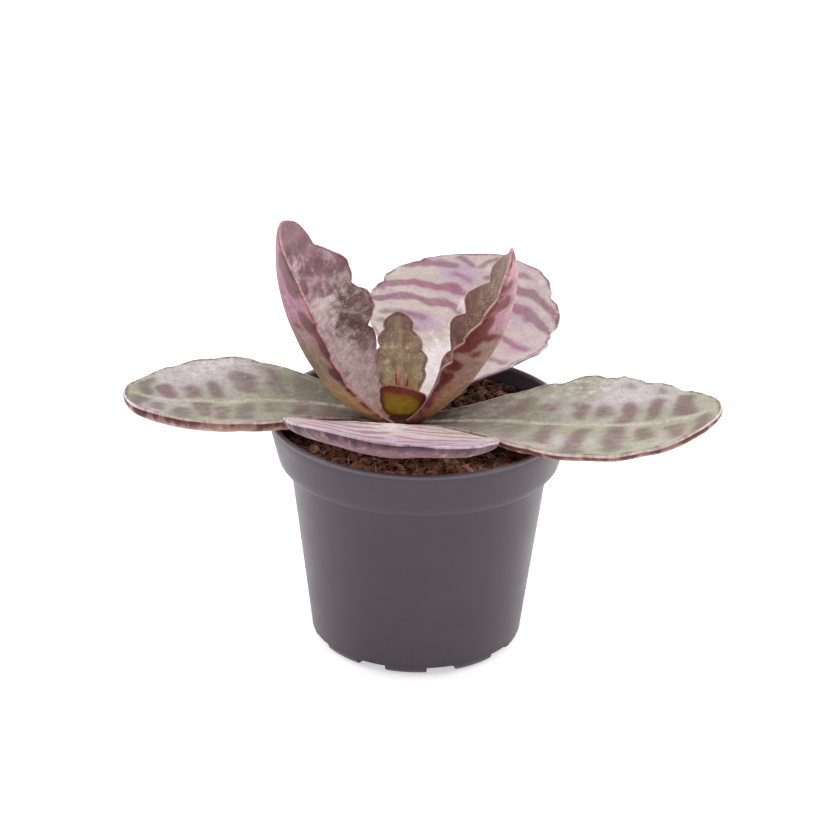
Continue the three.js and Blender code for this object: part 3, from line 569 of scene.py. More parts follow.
def upper_face(node, on, look, colour, leaf, stripe, foot):
    """Stripes and brown specks on a mottled skin, under pale veins, wax and the pale line of the midrib."""
    full = leaf["length"]
    lilac = share(node, (total(node, -1.15, (on.lilac, 1.0), (on.cloud, 2.2)), -0.2, 0.9))
    root_end = look["root_end"] * full + 4.5
    root = share(node, (total(node, on.length, (on.cloud, 9.0)), root_end, 4.0, 0.0, 0.9))
    ink = painted(node, colour["stripe"], (share(node, (on.cloud, 0.4, 0.6)), colour["warm"]))
    brown = share(node, (on.brown, 0.2, 1.0, 0.0, 0.75))
    specks = share(node, (total(node, on.fleck, (on.brown, 0.16)), 0.56, 0.66, 0.0, 0.5 * look["speckle"]))
    pale_specks = share(
        node, (on.speck, 0.48, 0.64), (on.patch, 0.36, 0.6), (on.brown, 0.1, 0.6, 0.0, 0.7 * look["speckle"]))
    # veins wander where a broad noise crosses its middle value, and end before the tip
    off_vein = node("Math", [total(node, -0.56, (on.weave, 1.0), (on.patch, 0.12))], operation="ABSOLUTE")
    vein = share(node, (off_vein, 0.09, 0.0), (on.blotch, 0.36, 0.56),
                 (on.length, 0.9 * full, 0.66 * full, 0.15 * look["net"], look["net"]))
    # the thick wax lies in streaks along the leaf
    waxy = total(node, -1.85, (on.frost, 1.0), (on.streak, 1.3), (on.patch, 1.7))
    wax = share(node, (waxy, -0.1, 0.8, 0.0, 0.9))
    off_rib = node("Math", [total(node, -0.8, (on.across, 1.0), (on.patch, 1.6))], operation="ABSOLUTE")
    rib_end = look["rib_end"] * full
    rib = share(node, (off_rib, 1.7, 0.2), (on.blotch, 0.36, 0.6, 0.2, 0.7),
                (on.length, rib_end, 0.75 * rib_end))
    return painted(
        node, colour["ground"], (lilac, colour["lilac"]), (root, colour["root"]), (foot, colour["foot"]),
        (stripe, ink), (brown, colour["brown"]), (specks, colour["stripe"]), (pale_specks, colour["frost"]),
        (vein, colour["frost"]), (wax, colour["frost"]), (rib, colour["rib"]))


def lower_face(node, on, look, colour, leaf, stain, foot, ragged):
    """Plainer than the upper face, with dark blotches that crowd along the margin."""
    full = leaf["length"]
    middle = share(node, (on.length, 0.72 * full, 0.5 * full))
    low = share(node, (total(node, on.length, (on.cloud, 9.0)), 0.46 * full + 4.5, 14.0, 0.0, 0.9))
    pale = share(node, (on.patch, 0.5, 0.72, 0.0, 0.4))
    flank = share(node, (ragged, 2.8, 1.0), (on.blotch, 0.4, 0.56, 0.4, 0.95))
    by_margin = total(node, on.inside, (on.patch, 5.0))
    spots = share(node, (on.blotch, look["spots"], look["spots"] + 0.08), (by_margin, 7.5, 4.5, 0.0, 0.85))
    blotches = node("Math", (stain, spots), operation="MAXIMUM")
    return painted(
        node, colour["under"], (middle, colour["under_mid"]), (low, colour["under_root"]),
        (pale, colour["rim"]), (foot, colour["foot"]), (flank, colour["flank"]),
        (blotches, colour["under_blotch"]))


def leaf_material(name, look, settings, leaf):
    """Living leaf with a waxy bloom: a soft satin skin that scatters a little light, paler where the wax is
    thick. It has a pale rim with dark dashes under it, and the worn rim and bare brown patches shine."""
    material, node = new_material(name)
    colour = {key: linear(code) for key, code in look.items() if isinstance(code, str)}
    on = leaf_map(node, leaf)
    stripe, stain = leaf_marks(node, on, look, settings)
    foot = share(node, (on.length, 0.16 * leaf["length"], 0.04 * leaf["length"], 0.0, 0.8))
    ragged = total(node, -0.8, (on.inside, 1.0), (on.patch, 1.6))
    above = upper_face(node, on, look, colour, leaf, stripe, foot)
    below = lower_face(node, on, look, colour, leaf, stain, foot, ragged)
    dash = share(node, (ragged, 1.5, 0.4), (on.blotch, 0.38, 0.52), (on.upper, 0.0, 1.0, 0.9, 0.7))
    rim = share(node, (on.inside, 0.42, 0.12), (on.patch, 0.3, 0.5, 0.5, 0.85))
    skin = painted(node, below, (on.upper, above), (dash, colour["dash"]), (rim, colour["rim"]))

    # the wax lies in grains, over light and dark patches
    grains = ((on.patch, look["mottle"]), (on.fleck, look["mottle"]), (on.fuzz, look["fuzz"]),
              (on.grain, 4 * settings.grain_strength))
    shade = leaf["shade"] - sum(strength for _, strength in grains) / 2
    skin = node("VectorMath", {0: skin, "Scale": total(node, shade, *grains)}, operation="SCALE")
    height = total(node, on.grain, (on.fleck, 0.6), (on.fuzz, 2 * look["fuzz"]), (on.streak, 0.4))
    bump = node("Bump", {"Strength": 0.55, "Distance": 0.14 * MM, "Height": height})
    bare = node("Math", (rim, share(node, (on.brown, 0.1, 0.8, 0.0, on.upper))), operation="MAXIMUM")
    satin = node("MapRange", (on.cloud, 0.3, 0.7, 0.5, 0.66))
    shader = node("BsdfPrincipled", {
        "Base Color": skin, "Roughness": total(node, satin, (bare, -0.2)), "IOR": 1.42, "Normal": bump,
        "Subsurface Weight": settings.scatter, "Subsurface Radius": (1.0, 0.5, 0.35),
        "Subsurface Scale": 1.2 * MM,
    })
    node("OutputMaterial", {"Surface": shader})
    return material


def polypropylene():
    """Injection-moulded polypropylene: an even, slightly waxy dark plastic with a fine matt grain, and a
    painted highlight along the lip.
    """
    settings = bpy.context.scene.kalanchoe_pot
    material, node = new_material("moulded polypropylene")
    where = node("NewGeometry").outputs["Position"]
    # grain of 0.5 mm, coarser than a real mould's so that it shows
    grain = node("TexNoise", {"Vector": where, "Scale": 1 / (0.5 * MM), "Detail": 2.0})
    dust = node("TexNoise", {"Vector": where, "Scale": 1 / (14 * MM), "Detail": 4.0, "Roughness": 0.65})
    film = node("MapRange", (dust, 0.35, 0.75, 0.0, 0.22))
    # the lip is painted paler than the wall, a painted highlight along its top edge
    level = node("SeparateXYZ", [where]).outputs["Z"]
    lip_highlight = share(node, (level, settings.height - 1.3 * MM, settings.height - 0.2 * MM, 0.0, 0.55))
    skin = painted(node, (*settings.plastic, 1.0), (film, (*settings.dust, 1.0)), (lip_highlight, linear("988e9a")))
    rough = node("MapRange", (dust, 0.3, 0.7, 0.34, 0.46))
    bump = node("Bump", {"Strength": 0.25, "Distance": 0.03 * MM, "Height": grain})
    shader = node("BsdfPrincipled", {"Base Color": skin, "Roughness": rough, "IOR": 1.49, "Normal": bump})
    node("OutputMaterial", {"Surface": shader})
    return material


def plain_earth(name, dark, light, size, rough=0.95, brighter=1.0, shaded=1.0):
    """Dry plant matter: two browns mixed in grains of the given size in millimetres, with no shine. brighter
    is its tone at the pot's front, a painted pool of light, and shaded its tone under the leaves, a painted
    shade."""
    material, node = new_material(name)
    where = node("NewGeometry").outputs["Position"]
    grain = node("TexNoise", {"Vector": where, "Scale": 1 / (size * MM), "Detail": 5.0, "Roughness": 0.7})
    mixed = node("MapRange", (grain, 0.38, 0.66))
    skin = painted(node, linear(dark), (mixed, linear(light)))
    # painted light and shade: the colour is scaled from brighter at the pot's front to shaded under the
    # leaves
    ahead = node("SeparateXYZ", [where]).outputs["Y"]
    front, under_leaves = -32 * MM, -14 * MM
    tone = share(node, (ahead, front, under_leaves, brighter, shaded))
    skin = node("VectorMath", {0: skin, "Scale": tone}, operation="SCALE")
    bump = node("Bump", {"Strength": 0.8, "Distance": 0.15 * size * MM, "Height": grain})
    shader = node("BsdfPrincipled", {"Base Color": skin, "Roughness": rough, "Normal": bump})
    node("OutputMaterial", {"Surface": shader})
    return material


# Pieces


class StageSettings(bpy.types.PropertyGroup):
    """Camera, floor and light."""

    distance: FloatProperty(
        name="Camera distance", description="From the camera to the point it aims at",
        default=0.9, min=0.2, unit="LENGTH")
    elevation: FloatProperty(
        name="Elevation", description="How far the camera looks down",
        default=math.radians(24.47), subtype="ANGLE")
    roll: FloatProperty(
        name="Roll", description="Tilt of the camera about its own line of sight",
        default=math.radians(1.03), subtype="ANGLE")
    lens: FloatProperty(name="Lens", description="Focal length", default=137.5, min=10, unit="CAMERA")
    aim: FloatVectorProperty(
        name="Aim", description="The point in the middle of the picture",
        default=(0.09 * MM, 0, 65.45 * MM), size=3, subtype="XYZ", unit="LENGTH")
    floor: FloatVectorProperty(
        name="Floor", description="Colour of the floor",
        default=linear("f7f7f6")[:3], size=3, subtype="COLOR")
    sky: FloatProperty(
        name="Room light", description="Strength of the white room's light", default=0.8, min=0)
    front: FloatProperty(
        name="Front light", description="Share of the room's light that comes from the camera's side",
        default=0.5, min=0, max=1, subtype="FACTOR")
    side_light: FloatProperty(
        name="Side light", description="Power of the soft box at each side", default=2.6, min=0, unit="POWER")
    top_light: FloatProperty(
        name="Top light", description="Power of the soft box above", default=1.7, min=0, unit="POWER")
    table_glow: FloatProperty(
        name="Table glow", description="Light from the white table itself", default=0.52, min=0)


class PotSettings(bpy.types.PropertyGroup):
    """The nursery pot."""

    rim_radius: FloatProperty(
        name="Lip radius", description="Outer edge of the lip", default=42.5 * MM, unit="LENGTH")
    height: FloatProperty(
        name="Height", description="From the feet to the lip", default=68 * MM, unit="LENGTH")
    wall: FloatProperty(
        name="Wall", description="Thickness of the plastic", default=1.4 * MM, unit="LENGTH")
    plastic: FloatVectorProperty(
        name="Plastic", description="Colour of the plastic", default=linear("382b38")[:3],
        size=3, subtype="COLOR")
    dust: FloatVectorProperty(
        name="Dust", description="Colour of the thin dry film on it", default=linear("5a4c57")[:3],
        size=3, subtype="COLOR")


class SoilSettings(bpy.types.PropertyGroup):
    """The peat and what lies on it."""

    level: FloatProperty(
        name="Level", description="Height of the soil in the middle", default=62.2 * MM, unit="LENGTH")
    crumbs: IntProperty(name="Crumbs", description="Loose crumbs of peat", default=900, min=0)
    fibres: IntProperty(name="Fibres", description="Coir fibres", default=620, min=0)
    chips: IntProperty(name="Chips", description="Flat bits of bark", default=260, min=0)


class LeafSettings(bpy.types.PropertyGroup):
    """What all the leaves share."""

    stripe_strength: FloatProperty(
        name="Stripes", description="How strongly the markings show", default=0.85, min=0, max=1,
        subtype="FACTOR")
    stripe_softness: FloatProperty(
        name="Softness", description="How soft the edges of the markings are", default=0.25, min=0.01, max=1)
    grain_strength: FloatProperty(
        name="Grain", description="Light and dark grains of the wax", default=0.18, min=0, max=1)
    scatter: FloatProperty(
        name="Scatter", description="Light that passes through the flesh", default=0.12, min=0, max=1,
        subtype="FACTOR")


class KALANCHOE_OT_stage(bpy.types.Operator):
    """Makes the camera, the pale floor and the soft studio light"""

    bl_idname = "kalanchoe.stage"
    bl_label = "Stage"

    def execute(self, context):
        settings = context.scene.kalanchoe_stage
        down, turn = settings.elevation, settings.roll
        forward = Vector((0, math.cos(down), -math.sin(down)))
        side = Vector((1, 0, 0))
        up = side.cross(forward)
        right = math.cos(turn) * side + math.sin(turn) * up
        top = right.cross(forward)
        data = bpy.data.cameras.new("camera")
        data.lens = settings.lens
        data.sensor_width = 36
        camera = bpy.data.objects.new("camera", data)
        place = Vector(settings.aim) - settings.distance * forward
        axes = Matrix((right, top, -forward)).transposed().to_4x4()
        camera.matrix_world = Matrix.Translation(place) @ axes
        context.scene.collection.objects.link(camera)
        context.scene.camera = camera
        self.make_floor(settings)
        self.make_light(context, settings)
        context.scene.view_settings.view_transform = "Standard"
        return {"FINISHED"}

    def make_floor(self, settings):
        """A wide white table that glows a little."""
        material, node = new_material("matt white paper")
        shader = node("BsdfPrincipled", {
            "Base Color": (*settings.floor, 1.0), "Roughness": 0.9,
            "Emission Color": (1, 1, 1, 1), "Emission Strength": settings.table_glow})
        node("OutputMaterial", {"Surface": shader})
        half = 3000
        corners = [(-half, -half, 0), (half, -half, 0), (half, half, 0), (-half, half, 0)]
        mesh_piece("floor", corners, [(0, 1, 2, 3)], [material])

    def make_light(self, context, settings):
        """A white room, dimmer on the camera's side, and three soft boxes."""
        world = bpy.data.worlds.new("white room")
        world.use_nodes = True
        world.node_tree.nodes.clear()
        node = partial(add, world.node_tree)
        toward = node("SeparateXYZ", [node("TexCoord").outputs["Generated"]])
        strength = share(
            node, (toward.outputs["Y"], -0.8, 0.5, settings.front * settings.sky, settings.sky))
        shade = node("Background", {"Color": (1, 1, 1, 1), "Strength": strength})
        node("OutputWorld", {"Surface": shade})
        context.scene.world = world
        middle = Vector((0, 0, 70 * MM))
        for name, at, size, power in (
            ("soft box left", (-0.6, 0.2, 0.3), 0.55, settings.side_light),
            ("soft box right", (0.6, 0.2, 0.3), 0.55, settings.side_light),
            ("soft box top", (0.0, -0.15, 0.85), 0.6, settings.top_light),
        ):
            data = bpy.data.lights.new(name, "AREA")
            data.shape = "SQUARE"
            data.size = size
            data.energy = power
            lamp = bpy.data.objects.new(name, data)
            lamp.location = at
            lamp.rotation_mode = "QUATERNION"
            lamp.rotation_quaternion = (middle - Vector(at)).to_track_quat("-Z", "Y")
            context.scene.collection.objects.link(lamp)


class KALANCHOE_OT_pot(bpy.types.Operator):
    """Moulds the nursery pot, with its collar, lip, feet and drain holes"""

    bl_idname = "kalanchoe.pot"
    bl_label = "Pot"

    collar_radius = 40.1
    collar_low = 57.0
    ledge_height = 53.6
    ledge_radius = 36.3
    foot_radius = 30.1
    foot_height = 4.4
    bottom_round = 3.2
    plate_low = 2.4
    plate_high = 3.6
    feet = 9  # with a drain hole between each foot and the next
    first_foot = -95.2  # its direction in degrees
    drain_ring = 18
    drain_radius = 3
    lip_radius = 0.7
    sides = 180

    def edge_radius(self, level):
        """Radius of the rounded bottom edge at a height. The feet carry it on to the ground."""
        taper = (self.ledge_radius - self.foot_radius) / (self.ledge_height - self.foot_height)
        centre = self.foot_radius - taper * (self.foot_height - self.bottom_round) - self.bottom_round
        return centre + math.sqrt(self.bottom_round ** 2 - (self.bottom_round - level) ** 2)

    def outline(self, settings):
        """The wall's section, from the axis under the plate round to the axis on the floor."""
        rim, top, wall = (getattr(settings, k) / MM for k in ("rim_radius", "height", "wall"))
        low = self.plate_low
        points = [(0, low), (14, low), (self.edge_radius(low) - 0.3, low)]
        points += [(self.edge_radius(z), z) for z in np.linspace(low + 0.2, self.bottom_round, 8)]
        points += [(self.foot_radius, self.foot_height)]
        points += line((self.foot_radius, self.foot_height), (self.ledge_radius, self.ledge_height - 0.5), 12)
        points += arc((self.ledge_radius + 0.6, self.ledge_height - 0.5), 0.6, 180, 100, 4)
        points += [(self.collar_radius - 1.7, self.ledge_height + 0.6)]
        points += [(self.collar_radius - 0.95, self.ledge_height + 1.0)]
        points += [(self.collar_radius - 0.5, self.ledge_height + 1.6), (self.collar_radius, self.collar_low)]
        points += line((self.collar_radius, self.collar_low), (rim - 0.25, top - 2.2), 6)
        points += [(rim, top - 1.6)]
        lip = (rim - self.lip_radius, top - self.lip_radius)
        points += arc(lip, self.lip_radius, 0, 90, 6)
        points += arc((rim - wall + 0.2, top - 0.4), 0.4, 90, 180, 4)
        points += line((rim - wall - 0.2, top - 0.7), (self.collar_radius - wall, self.collar_low + 1), 5)
        points += [(self.collar_radius - wall - 0.6, self.collar_low - 1)]
        points += [(self.ledge_radius - wall, self.ledge_height + 0.4)]
        points += [(self.foot_radius - wall, self.foot_height + 1.2)]
        points += [(self.foot_radius - wall - 1.6, self.plate_high), (0, self.plate_high)]
        return points

    def execute(self, context):
        settings = context.scene.kalanchoe_pot
        material = polypropylene()
        body = revolved("pot_shell", self.outline(settings), self.sides, [material])
        join_by_boolean(body, [self.foot(k) for k in range(self.feet)] + [self.pad()], "UNION")
        join_by_boolean(body, [self.drain(k) for k in range(self.feet)], "DIFFERENCE")
        shade_smooth_by_angle(body)
        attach(body, "root")
        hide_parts("pot")
        return {"FINISHED"}

    def direction(self, k):
        """The direction of a foot in degrees, where k may lie between two feet."""
        return self.first_foot + 360 / self.feet * k

    def foot(self, k):
        """One low foot: an arc under the plate, with its ends rounded towards the ground."""
        centre, half, inner, sunk, steps = self.direction(k), 11.5, 24.0, 0.5, 12
        rings = []
        for level, lean, draw in (
            (0.0, 1.4, 0.5), (0.15, 0.9, 0.3), (0.45, 0.4, 0.1), (1.0, 0.1, 0), (1.6, 0, 0),
            (self.plate_low + sunk, 0, 0),
        ):
            angles = np.radians(np.linspace(centre - half + lean, centre + half - lean, steps + 1))
            outer = self.edge_radius(min(level, self.plate_low))
            rings.append([
                (radius * math.cos(a), radius * math.sin(a), level)
                for radius, order in ((inner + draw, 1), (outer, -1)) for a in angles[::order]])
        return lofted("foot", rings)

    def pad(self):
        """The flat pad in the middle of the underside."""
        return plug("pad", 0, 0, ((5.6, 0.0), (5.9, 0.15), (6.0, 0.5), (6.0, self.plate_low + 0.5)), 48)

    def drain(self, k):
        """The plug that cuts the drain hole between a foot and the next."""
        angle = math.radians(self.direction(k + 0.5))
        x, y = self.drain_ring * math.cos(angle), self.drain_ring * math.sin(angle)
        return plug("drain", x, y, ((self.drain_radius, 0.0), (self.drain_radius, 6.0)), 40)


def plug(name, x, y, profile, sides):
    """An upright round solid at x and y, from the radius and height of each of its rings."""
    angles = np.linspace(2 * math.pi, 0, sides, endpoint=False)
    return lofted(name, [
        [(x + radius * math.cos(a), y + radius * math.sin(a), level) for a in angles]
        for radius, level in profile])


def circle(radius, sides):
    """Points round an axis."""
    angles = [2 * math.pi * k / sides for k in range(sides)]
    return [(radius * math.cos(a), radius * math.sin(a)) for a in angles]


def arc(centre, radius, start, end, steps):
    """Points of a rounded edge, with both its ends."""
    angles = [math.radians(start + (end - start) * k / steps) for k in range(steps + 1)]
    return [(centre[0] + radius * math.cos(a), centre[1] + radius * math.sin(a)) for a in angles]


def line(start, end, steps):
    """Points between two ends, without the ends."""
    return [tuple(s + (e - s) * k / steps for s, e in zip(start, end)) for k in range(1, steps)]


def revolved(name, outline, sides, materials):
    """A closed solid of revolution about Z. The outline starts and ends on the axis."""
    inner = [p for p in outline if p[0] > 1e-6]
    points = [(0, 0, outline[0][1]), (0, 0, outline[-1][1])]
    for radius, height in inner:
        points += [(x, y, height) for x, y in circle(radius, sides)]
    last = 2 + (len(inner) - 1) * sides
    faces = []
    for k in range(sides):
        n = (k + 1) % sides
        faces += [(0, 2 + n, 2 + k), (1, last + k, last + n)]
        faces += [(a + k, a + n, a + n + sides, a + k + sides) for a in range(2, last, sides)]
    return mesh_piece(name, points, faces, materials)


def lofted(name, rings):
    """A closed solid through rings of points, from the lowest up. Each ring runs clockwise from above."""
    count = len(rings[0])
    points = [p for ring in rings for p in ring]
    faces = [tuple(range(count)), tuple(reversed(range(len(points) - count, len(points))))]
    for i in range(len(rings) - 1):
        for k in range(count):
            n = (k + 1) % count
            faces.append((i * count + n, i * count + k, (i + 1) * count + k, (i + 1) * count + n))
    piece = mesh_piece(name, points, faces)
    made = bmesh.new()
    made.from_mesh(piece.data)
    bmesh.ops.recalc_face_normals(made, faces=made.faces)
    made.to_mesh(piece.data)
    made.free()
    return piece


def join_by_boolean(body, tools, operation):
    """Adds the tools to the body, or cuts them out of it, and removes them."""
    for tool in tools:
        step = body.modifiers.new("join", "BOOLEAN")
        step.operation = operation
        step.solver = "EXACT"
        step.object = tool
    made = bpy.data.meshes.new_from_object(body.evaluated_get(bpy.context.evaluated_depsgraph_get()))
    body.modifiers.clear()
    old = body.data
    body.data = made
    bpy.data.meshes.remove(old)
    for tool in tools:
        bpy.data.objects.remove(tool)


def shade_smooth_by_angle(piece, degrees=35):
    """Smooth shading that keeps edges sharper than the angle."""
    mesh = piece.data
    made = bmesh.new()
    made.from_mesh(mesh)
    for edge in made.edges:
        edge.smooth = len(edge.link_faces) == 2 and edge.calc_face_angle(0) < math.radians(degrees)
    for face in made.faces:
        face.smooth = True
    made.to_mesh(mesh)
    made.free()


class KALANCHOE_OT_soil(bpy.types.Operator):
    """Fills the pot with peat, and scatters crumbs, coir fibres and bark on it"""

    bl_idname = "kalanchoe.soil"
    bl_label = "Soil"

    # the soil and its bits are painted lighter at the pot's front and darker under the leaves, as painted
    # light and painted shade
    tone = dict(brighter=1.9, shaded=0.62)
    edge_radius = 39.2
    buried = ((38.4, 59.0), (37.6, 56.4), (34.5, 54.0), (28.4, 6.2), (26.8, 3.9))  # radius and height
    rings = 110
    sides = 300

    def height(self, x, y, level):
        """Height of the soil's top in millimetres, with the same broad lumps as the CAD solid."""
        radius = math.hypot(x, y)
        rise = 0.8 * min(radius / 34, 1) ** 2
        lumps = math.sin(0.42 * x + 1.3) * math.cos(0.37 * y - 0.6) + 0.6 * math.sin(0.9 * x - 0.55 * y)
        lumps += 0.4 * math.cos(1.35 * y + 0.8 * x + 2)
        broad = level + rise + 0.275 * lumps * min(max(radius / 14, 0.2), 1)
        fine = 0.9 * noise.noise((x * 0.5, y * 0.5, 1.0)) + 0.5 * noise.noise((x * 1.3, y * 1.3, 5.0))
        fine += 0.28 * noise.noise((x * 3.1, y * 3.1, 9.0))
        return broad + fine * min(1, (self.edge_radius - radius) / 2 + 0.35)

    def execute(self, context):
        settings = context.scene.kalanchoe_soil
        level = settings.level / MM
        dark = plain_earth("damp peat", "34201a", "9c6c54", 2.2, **self.tone)
        points = [(0, 0, self.height(0, 0, level))]
        for i in range(1, self.rings + 1):
            ring = circle(self.edge_radius * i / self.rings, self.sides)
            points += [(x, y, self.height(x, y, level)) for x, y in ring]
        for radius, z in self.buried:
            points += [(x, y, z) for x, y in circle(radius, self.sides)]
        last = len(points) - self.sides
        points.append((0, 0, self.buried[-1][1]))
        steps = [(k, (k + 1) % self.sides) for k in range(self.sides)]
        faces = [(0, 1 + k, 1 + n) for k, n in steps]
        for a in range(1, last, self.sides):
            b = a + self.sides
            faces += [(a + k, b + k, b + n, a + n) for k, n in steps]
        faces += [(last + self.sides, last + n, last + k) for k, n in steps]
        bed = mesh_piece("soil_bed", points, faces, [dark])
        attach(bed, "root")
        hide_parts("soil")
        self.scatter(settings, level)
        return {"FINISHED"}

    def scatter(self, settings, level):
        """Strews each kind of bit over the soil."""
        rng = random.Random(11)
        # how many bits, what makes one, and their name, two colours, grain and roughness
        looks = {
            "soil_crumbs": (settings.crumbs, self.crumb, ("peat crumb", "4a2c22", "b88268", 1.2)),
            "soil_fibres": (settings.fibres, self.fibre, ("coir fibre", "a87858", "f4d4b4", 1.5, 0.8)),
            "soil_chips": (settings.chips, self.chip, ("bark chip", "985a44", "e6b498", 1.6, 0.85)),
        }
        for name, (count, make, look) in looks.items():
            points, faces = [], []
            for _ in range(count):
                radius = (self.edge_radius - 1.6) * math.sqrt(rng.uniform(0.05, 1))
                angle = rng.uniform(0, 2 * math.pi)
                x, y = radius * math.cos(angle), radius * math.sin(angle)
                at = Vector((x, y, self.height(x, y, level)))
                more_points, more_faces = make(rng, at)
                faces += [tuple(len(points) + i for i in face) for face in more_faces]
                points += more_points
            piece = mesh_piece(name, points, faces, [plain_earth(*look, **self.tone)])
            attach(piece, "root")

    def crumb(self, rng, at):
        """A lump of peat: a dented ball, part sunk in the soil."""
        size = rng.choice((0.5, 0.7, 0.9, 1.3, 1.9)) * rng.uniform(0.7, 1.2)
        ball = bmesh.new()
        bmesh.ops.create_icosphere(ball, subdivisions=2 if size > 1 else 1, radius=size)
        offset = Vector((rng.uniform(0, 99), rng.uniform(0, 99), rng.uniform(0, 99)))
        squash = Vector((rng.uniform(0.7, 1.2), rng.uniform(0.7, 1.2), rng.uniform(0.5, 0.9)))
        points = []
        for vertex in ball.verts:
            dent = 1 + 0.45 * noise.noise(vertex.co * (1.4 / size) + offset)
            points.append(at + vertex.co * dent * squash + Vector((0, 0, 0.25 * size)))
        faces = [tuple(v.index for v in face.verts) for face in ball.faces]
        ball.free()
        return points, faces

    def fibre(self, rng, at):
        """A coir fibre: a thin bent tube that lies on the soil."""
        length, radius = rng.uniform(2.5, 9), rng.uniform(0.08, 0.2)
        heading, bend = rng.uniform(0, 2 * math.pi), rng.uniform(-1.6, 1.6)
        steps, sides = 9, 5
        spine = [at.copy()]
        lift = rng.uniform(0, 0.35)
        for k in range(steps):
            heading += bend / steps + rng.uniform(-0.15, 0.15)
            ahead = Vector((math.cos(heading), math.sin(heading), lift * math.cos(math.pi * k / steps)))
            spine.append(spine[-1] + ahead * (length / steps))
        return tube(keep_inside(spine, self.edge_radius - 0.6), radius, sides)

    def chip(self, rng, at):
        """A flat bit of bark with ragged sides."""
        size, thick = rng.uniform(0.7, 2.2), rng.uniform(0.15, 0.4)
        corners = rng.randint(5, 8)
        turn = Matrix.Rotation(rng.uniform(-0.6, 0.6), 3, "X")
        turn = turn @ Matrix.Rotation(rng.uniform(-0.6, 0.6), 3, "Y")
        aspect, start = rng.uniform(0.35, 0.8), rng.uniform(0, 6.28)
        spin = Matrix.Rotation(rng.uniform(0, 6.28), 3, "Z")
        rim = []
        for k in range(corners):
            angle = start + 2 * math.pi * k / corners
            reach = size * rng.uniform(0.7, 1.1)
            rim.append(Vector((reach * math.cos(angle), aspect * reach * math.sin(angle), 0)))
        above = at + Vector((0, 0, 0.3 + thick))
        points = [above + spin @ turn @ (p + Vector((0, 0, z))) for z in (thick, 0) for p in rim]
        faces = [tuple(range(corners)), tuple(reversed(range(corners, 2 * corners)))]
        faces += [(k, k + corners, (k + 1) % corners + corners, (k + 1) % corners) for k in range(corners)]
        return points, faces


def keep_inside(spine, radius):
    """Pulls points back inside a circle round the pot's axis."""
    for p in spine:
        reach = math.hypot(p.x, p.y)
        if reach > radius:
            p.x, p.y = p.x * radius / reach, p.y * radius / reach
    return spine


def tube(spine, radius, sides):
    """A closed tapering tube along points."""
    points, faces = [], []
    last = len(spine) - 1
    for i, p in enumerate(spine):
        ahead = (spine[min(i + 1, last)] - spine[max(i - 1, 0)]).normalized()
        one = ahead.orthogonal().normalized()
        two = ahead.cross(one)
        r = radius * (1 - 0.6 * abs(2 * i / last - 1) ** 3)
        points += [p + r * (x * one + y * two) for x, y in circle(1, sides)]
    for a in range(0, last * sides, sides):
        for k in range(sides):
            n = (k + 1) % sides
            faces.append((a + k, a + n, a + n + sides, a + k + sides))
    faces += [tuple(reversed(range(sides))), tuple(range(last * sides, (last + 1) * sides))]
    return points, faces


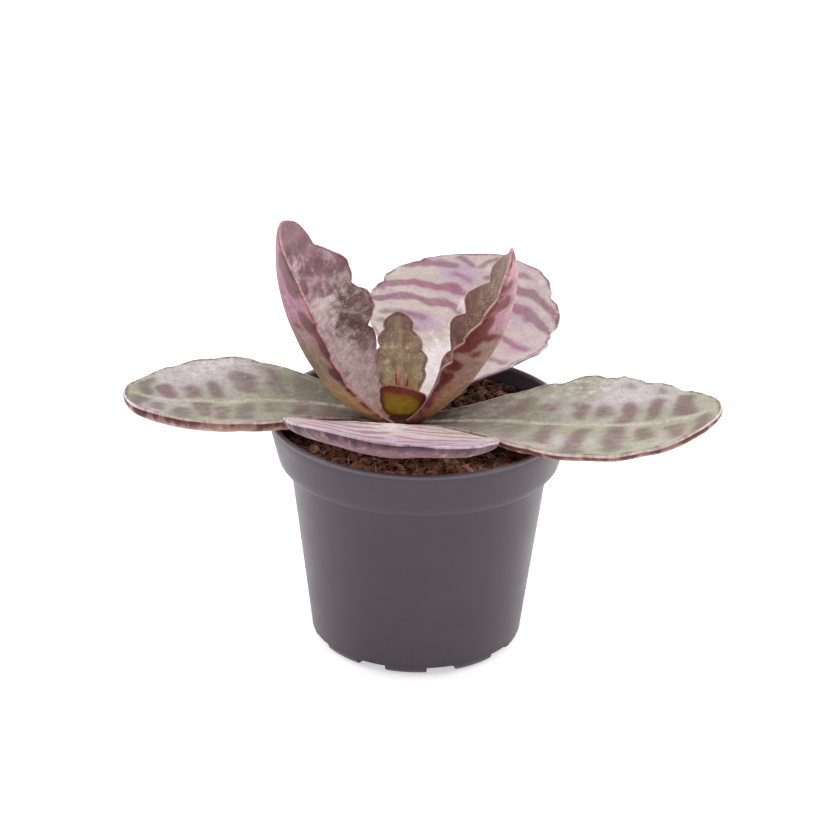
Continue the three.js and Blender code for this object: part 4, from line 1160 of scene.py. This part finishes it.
class KALANCHOE_OT_stem(bpy.types.Operator):
    """Grows the short fleshy stem"""

    bl_idname = "kalanchoe.stem"
    bl_label = "Stem"

    x, y = -4.8, -2.2
    outline = (
        (4.3, 46), (4.6, 60), (4.7, 65.6), (4.3, 66.8), (3.2, 67.9), (2.3, 69), (1.7, 70.2), (1.1, 71.4),
        (0.6, 72))
    sides = 64

    def execute(self, context):
        material = plain_earth("young stem bark", "3a170f", "6e3a2c", 1.4, 0.6)
        heights = np.linspace(self.outline[0][1], self.outline[-1][1], 120)
        radii = np.interp(heights, [h for _, h in self.outline], [r for r, _ in self.outline])
        outline = [(0, heights[0])] + list(zip(radii, heights)) + [(0, heights[-1])]
        piece = revolved("stem_bark", outline, self.sides, [material])
        for vertex in piece.data.vertices:
            at = vertex.co / MM
            if at.z > 50 and math.hypot(at.x, at.y) > 0.4:
                inward = 0.25 * noise.noise(at * 0.5) - 0.12 * abs(math.sin(at.z * 1.9))
                shrink = 1 + (inward - 0.1) / max(math.hypot(at.x, at.y), 1)
                vertex.co.x *= shrink
                vertex.co.y *= shrink
        piece.data.transform(Matrix.Translation((self.x * MM, self.y * MM, 0)))
        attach(piece, "root")
        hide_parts("stem")
        return {"FINISHED"}


class KALANCHOE_OT_leaves(bpy.types.Operator):
    """Grows the leaves, from the lowest pair to the growing point"""

    bl_idname = "kalanchoe.leaves"
    bl_label = "Leaves"

    def execute(self, context):
        settings = context.scene.kalanchoe_leaves
        for name, leaf in LEAVES.items():
            leaf = {**PLAIN, **leaf}
            title = "waxy " + name.replace("_", " ")
            leaf_piece(name, leaf, leaf_material(title, LOOKS[leaf["look"]], settings, leaf))
        return {"FINISHED"}


class KALANCHOE_PT_panel(bpy.types.Panel):
    """Lists the pieces and their settings"""

    bl_idname = "KALANCHOE_PT_panel"
    bl_label = "Potted kalanchoe"
    bl_space_type = "VIEW_3D"
    bl_region_type = "UI"
    bl_category = "Kalanchoe"

    def draw(self, context):
        for name in ("stage", "pot", "soil", "stem", "leaves"):
            box = self.layout.box()
            box.operator("kalanchoe." + name)
            group = getattr(context.scene, "kalanchoe_" + name, None)
            for key in (group.__annotations__ if group else ()):
                box.prop(group, key)


SETTINGS = {
    "kalanchoe_stage": StageSettings,
    "kalanchoe_pot": PotSettings,
    "kalanchoe_soil": SoilSettings,
    "kalanchoe_leaves": LeafSettings,
}
CLASSES = (
    *SETTINGS.values(),
    KALANCHOE_OT_stage,
    KALANCHOE_OT_pot,
    KALANCHOE_OT_soil,
    KALANCHOE_OT_stem,
    KALANCHOE_OT_leaves,
    KALANCHOE_PT_panel,
)


def register():
    for cls in CLASSES:
        bpy.utils.register_class(cls)
    for name, cls in SETTINGS.items():
        setattr(bpy.types.Scene, name, PointerProperty(type=cls))


def unregister():
    for name in SETTINGS:
        delattr(bpy.types.Scene, name)
    for cls in reversed(CLASSES):
        bpy.utils.unregister_class(cls)


def main():
    register()
    bpy.ops.kalanchoe.stage()
    bpy.ops.kalanchoe.pot()
    bpy.ops.kalanchoe.soil()
    bpy.ops.kalanchoe.stem()
    bpy.ops.kalanchoe.leaves()


if __name__ == "__main__":
    main()
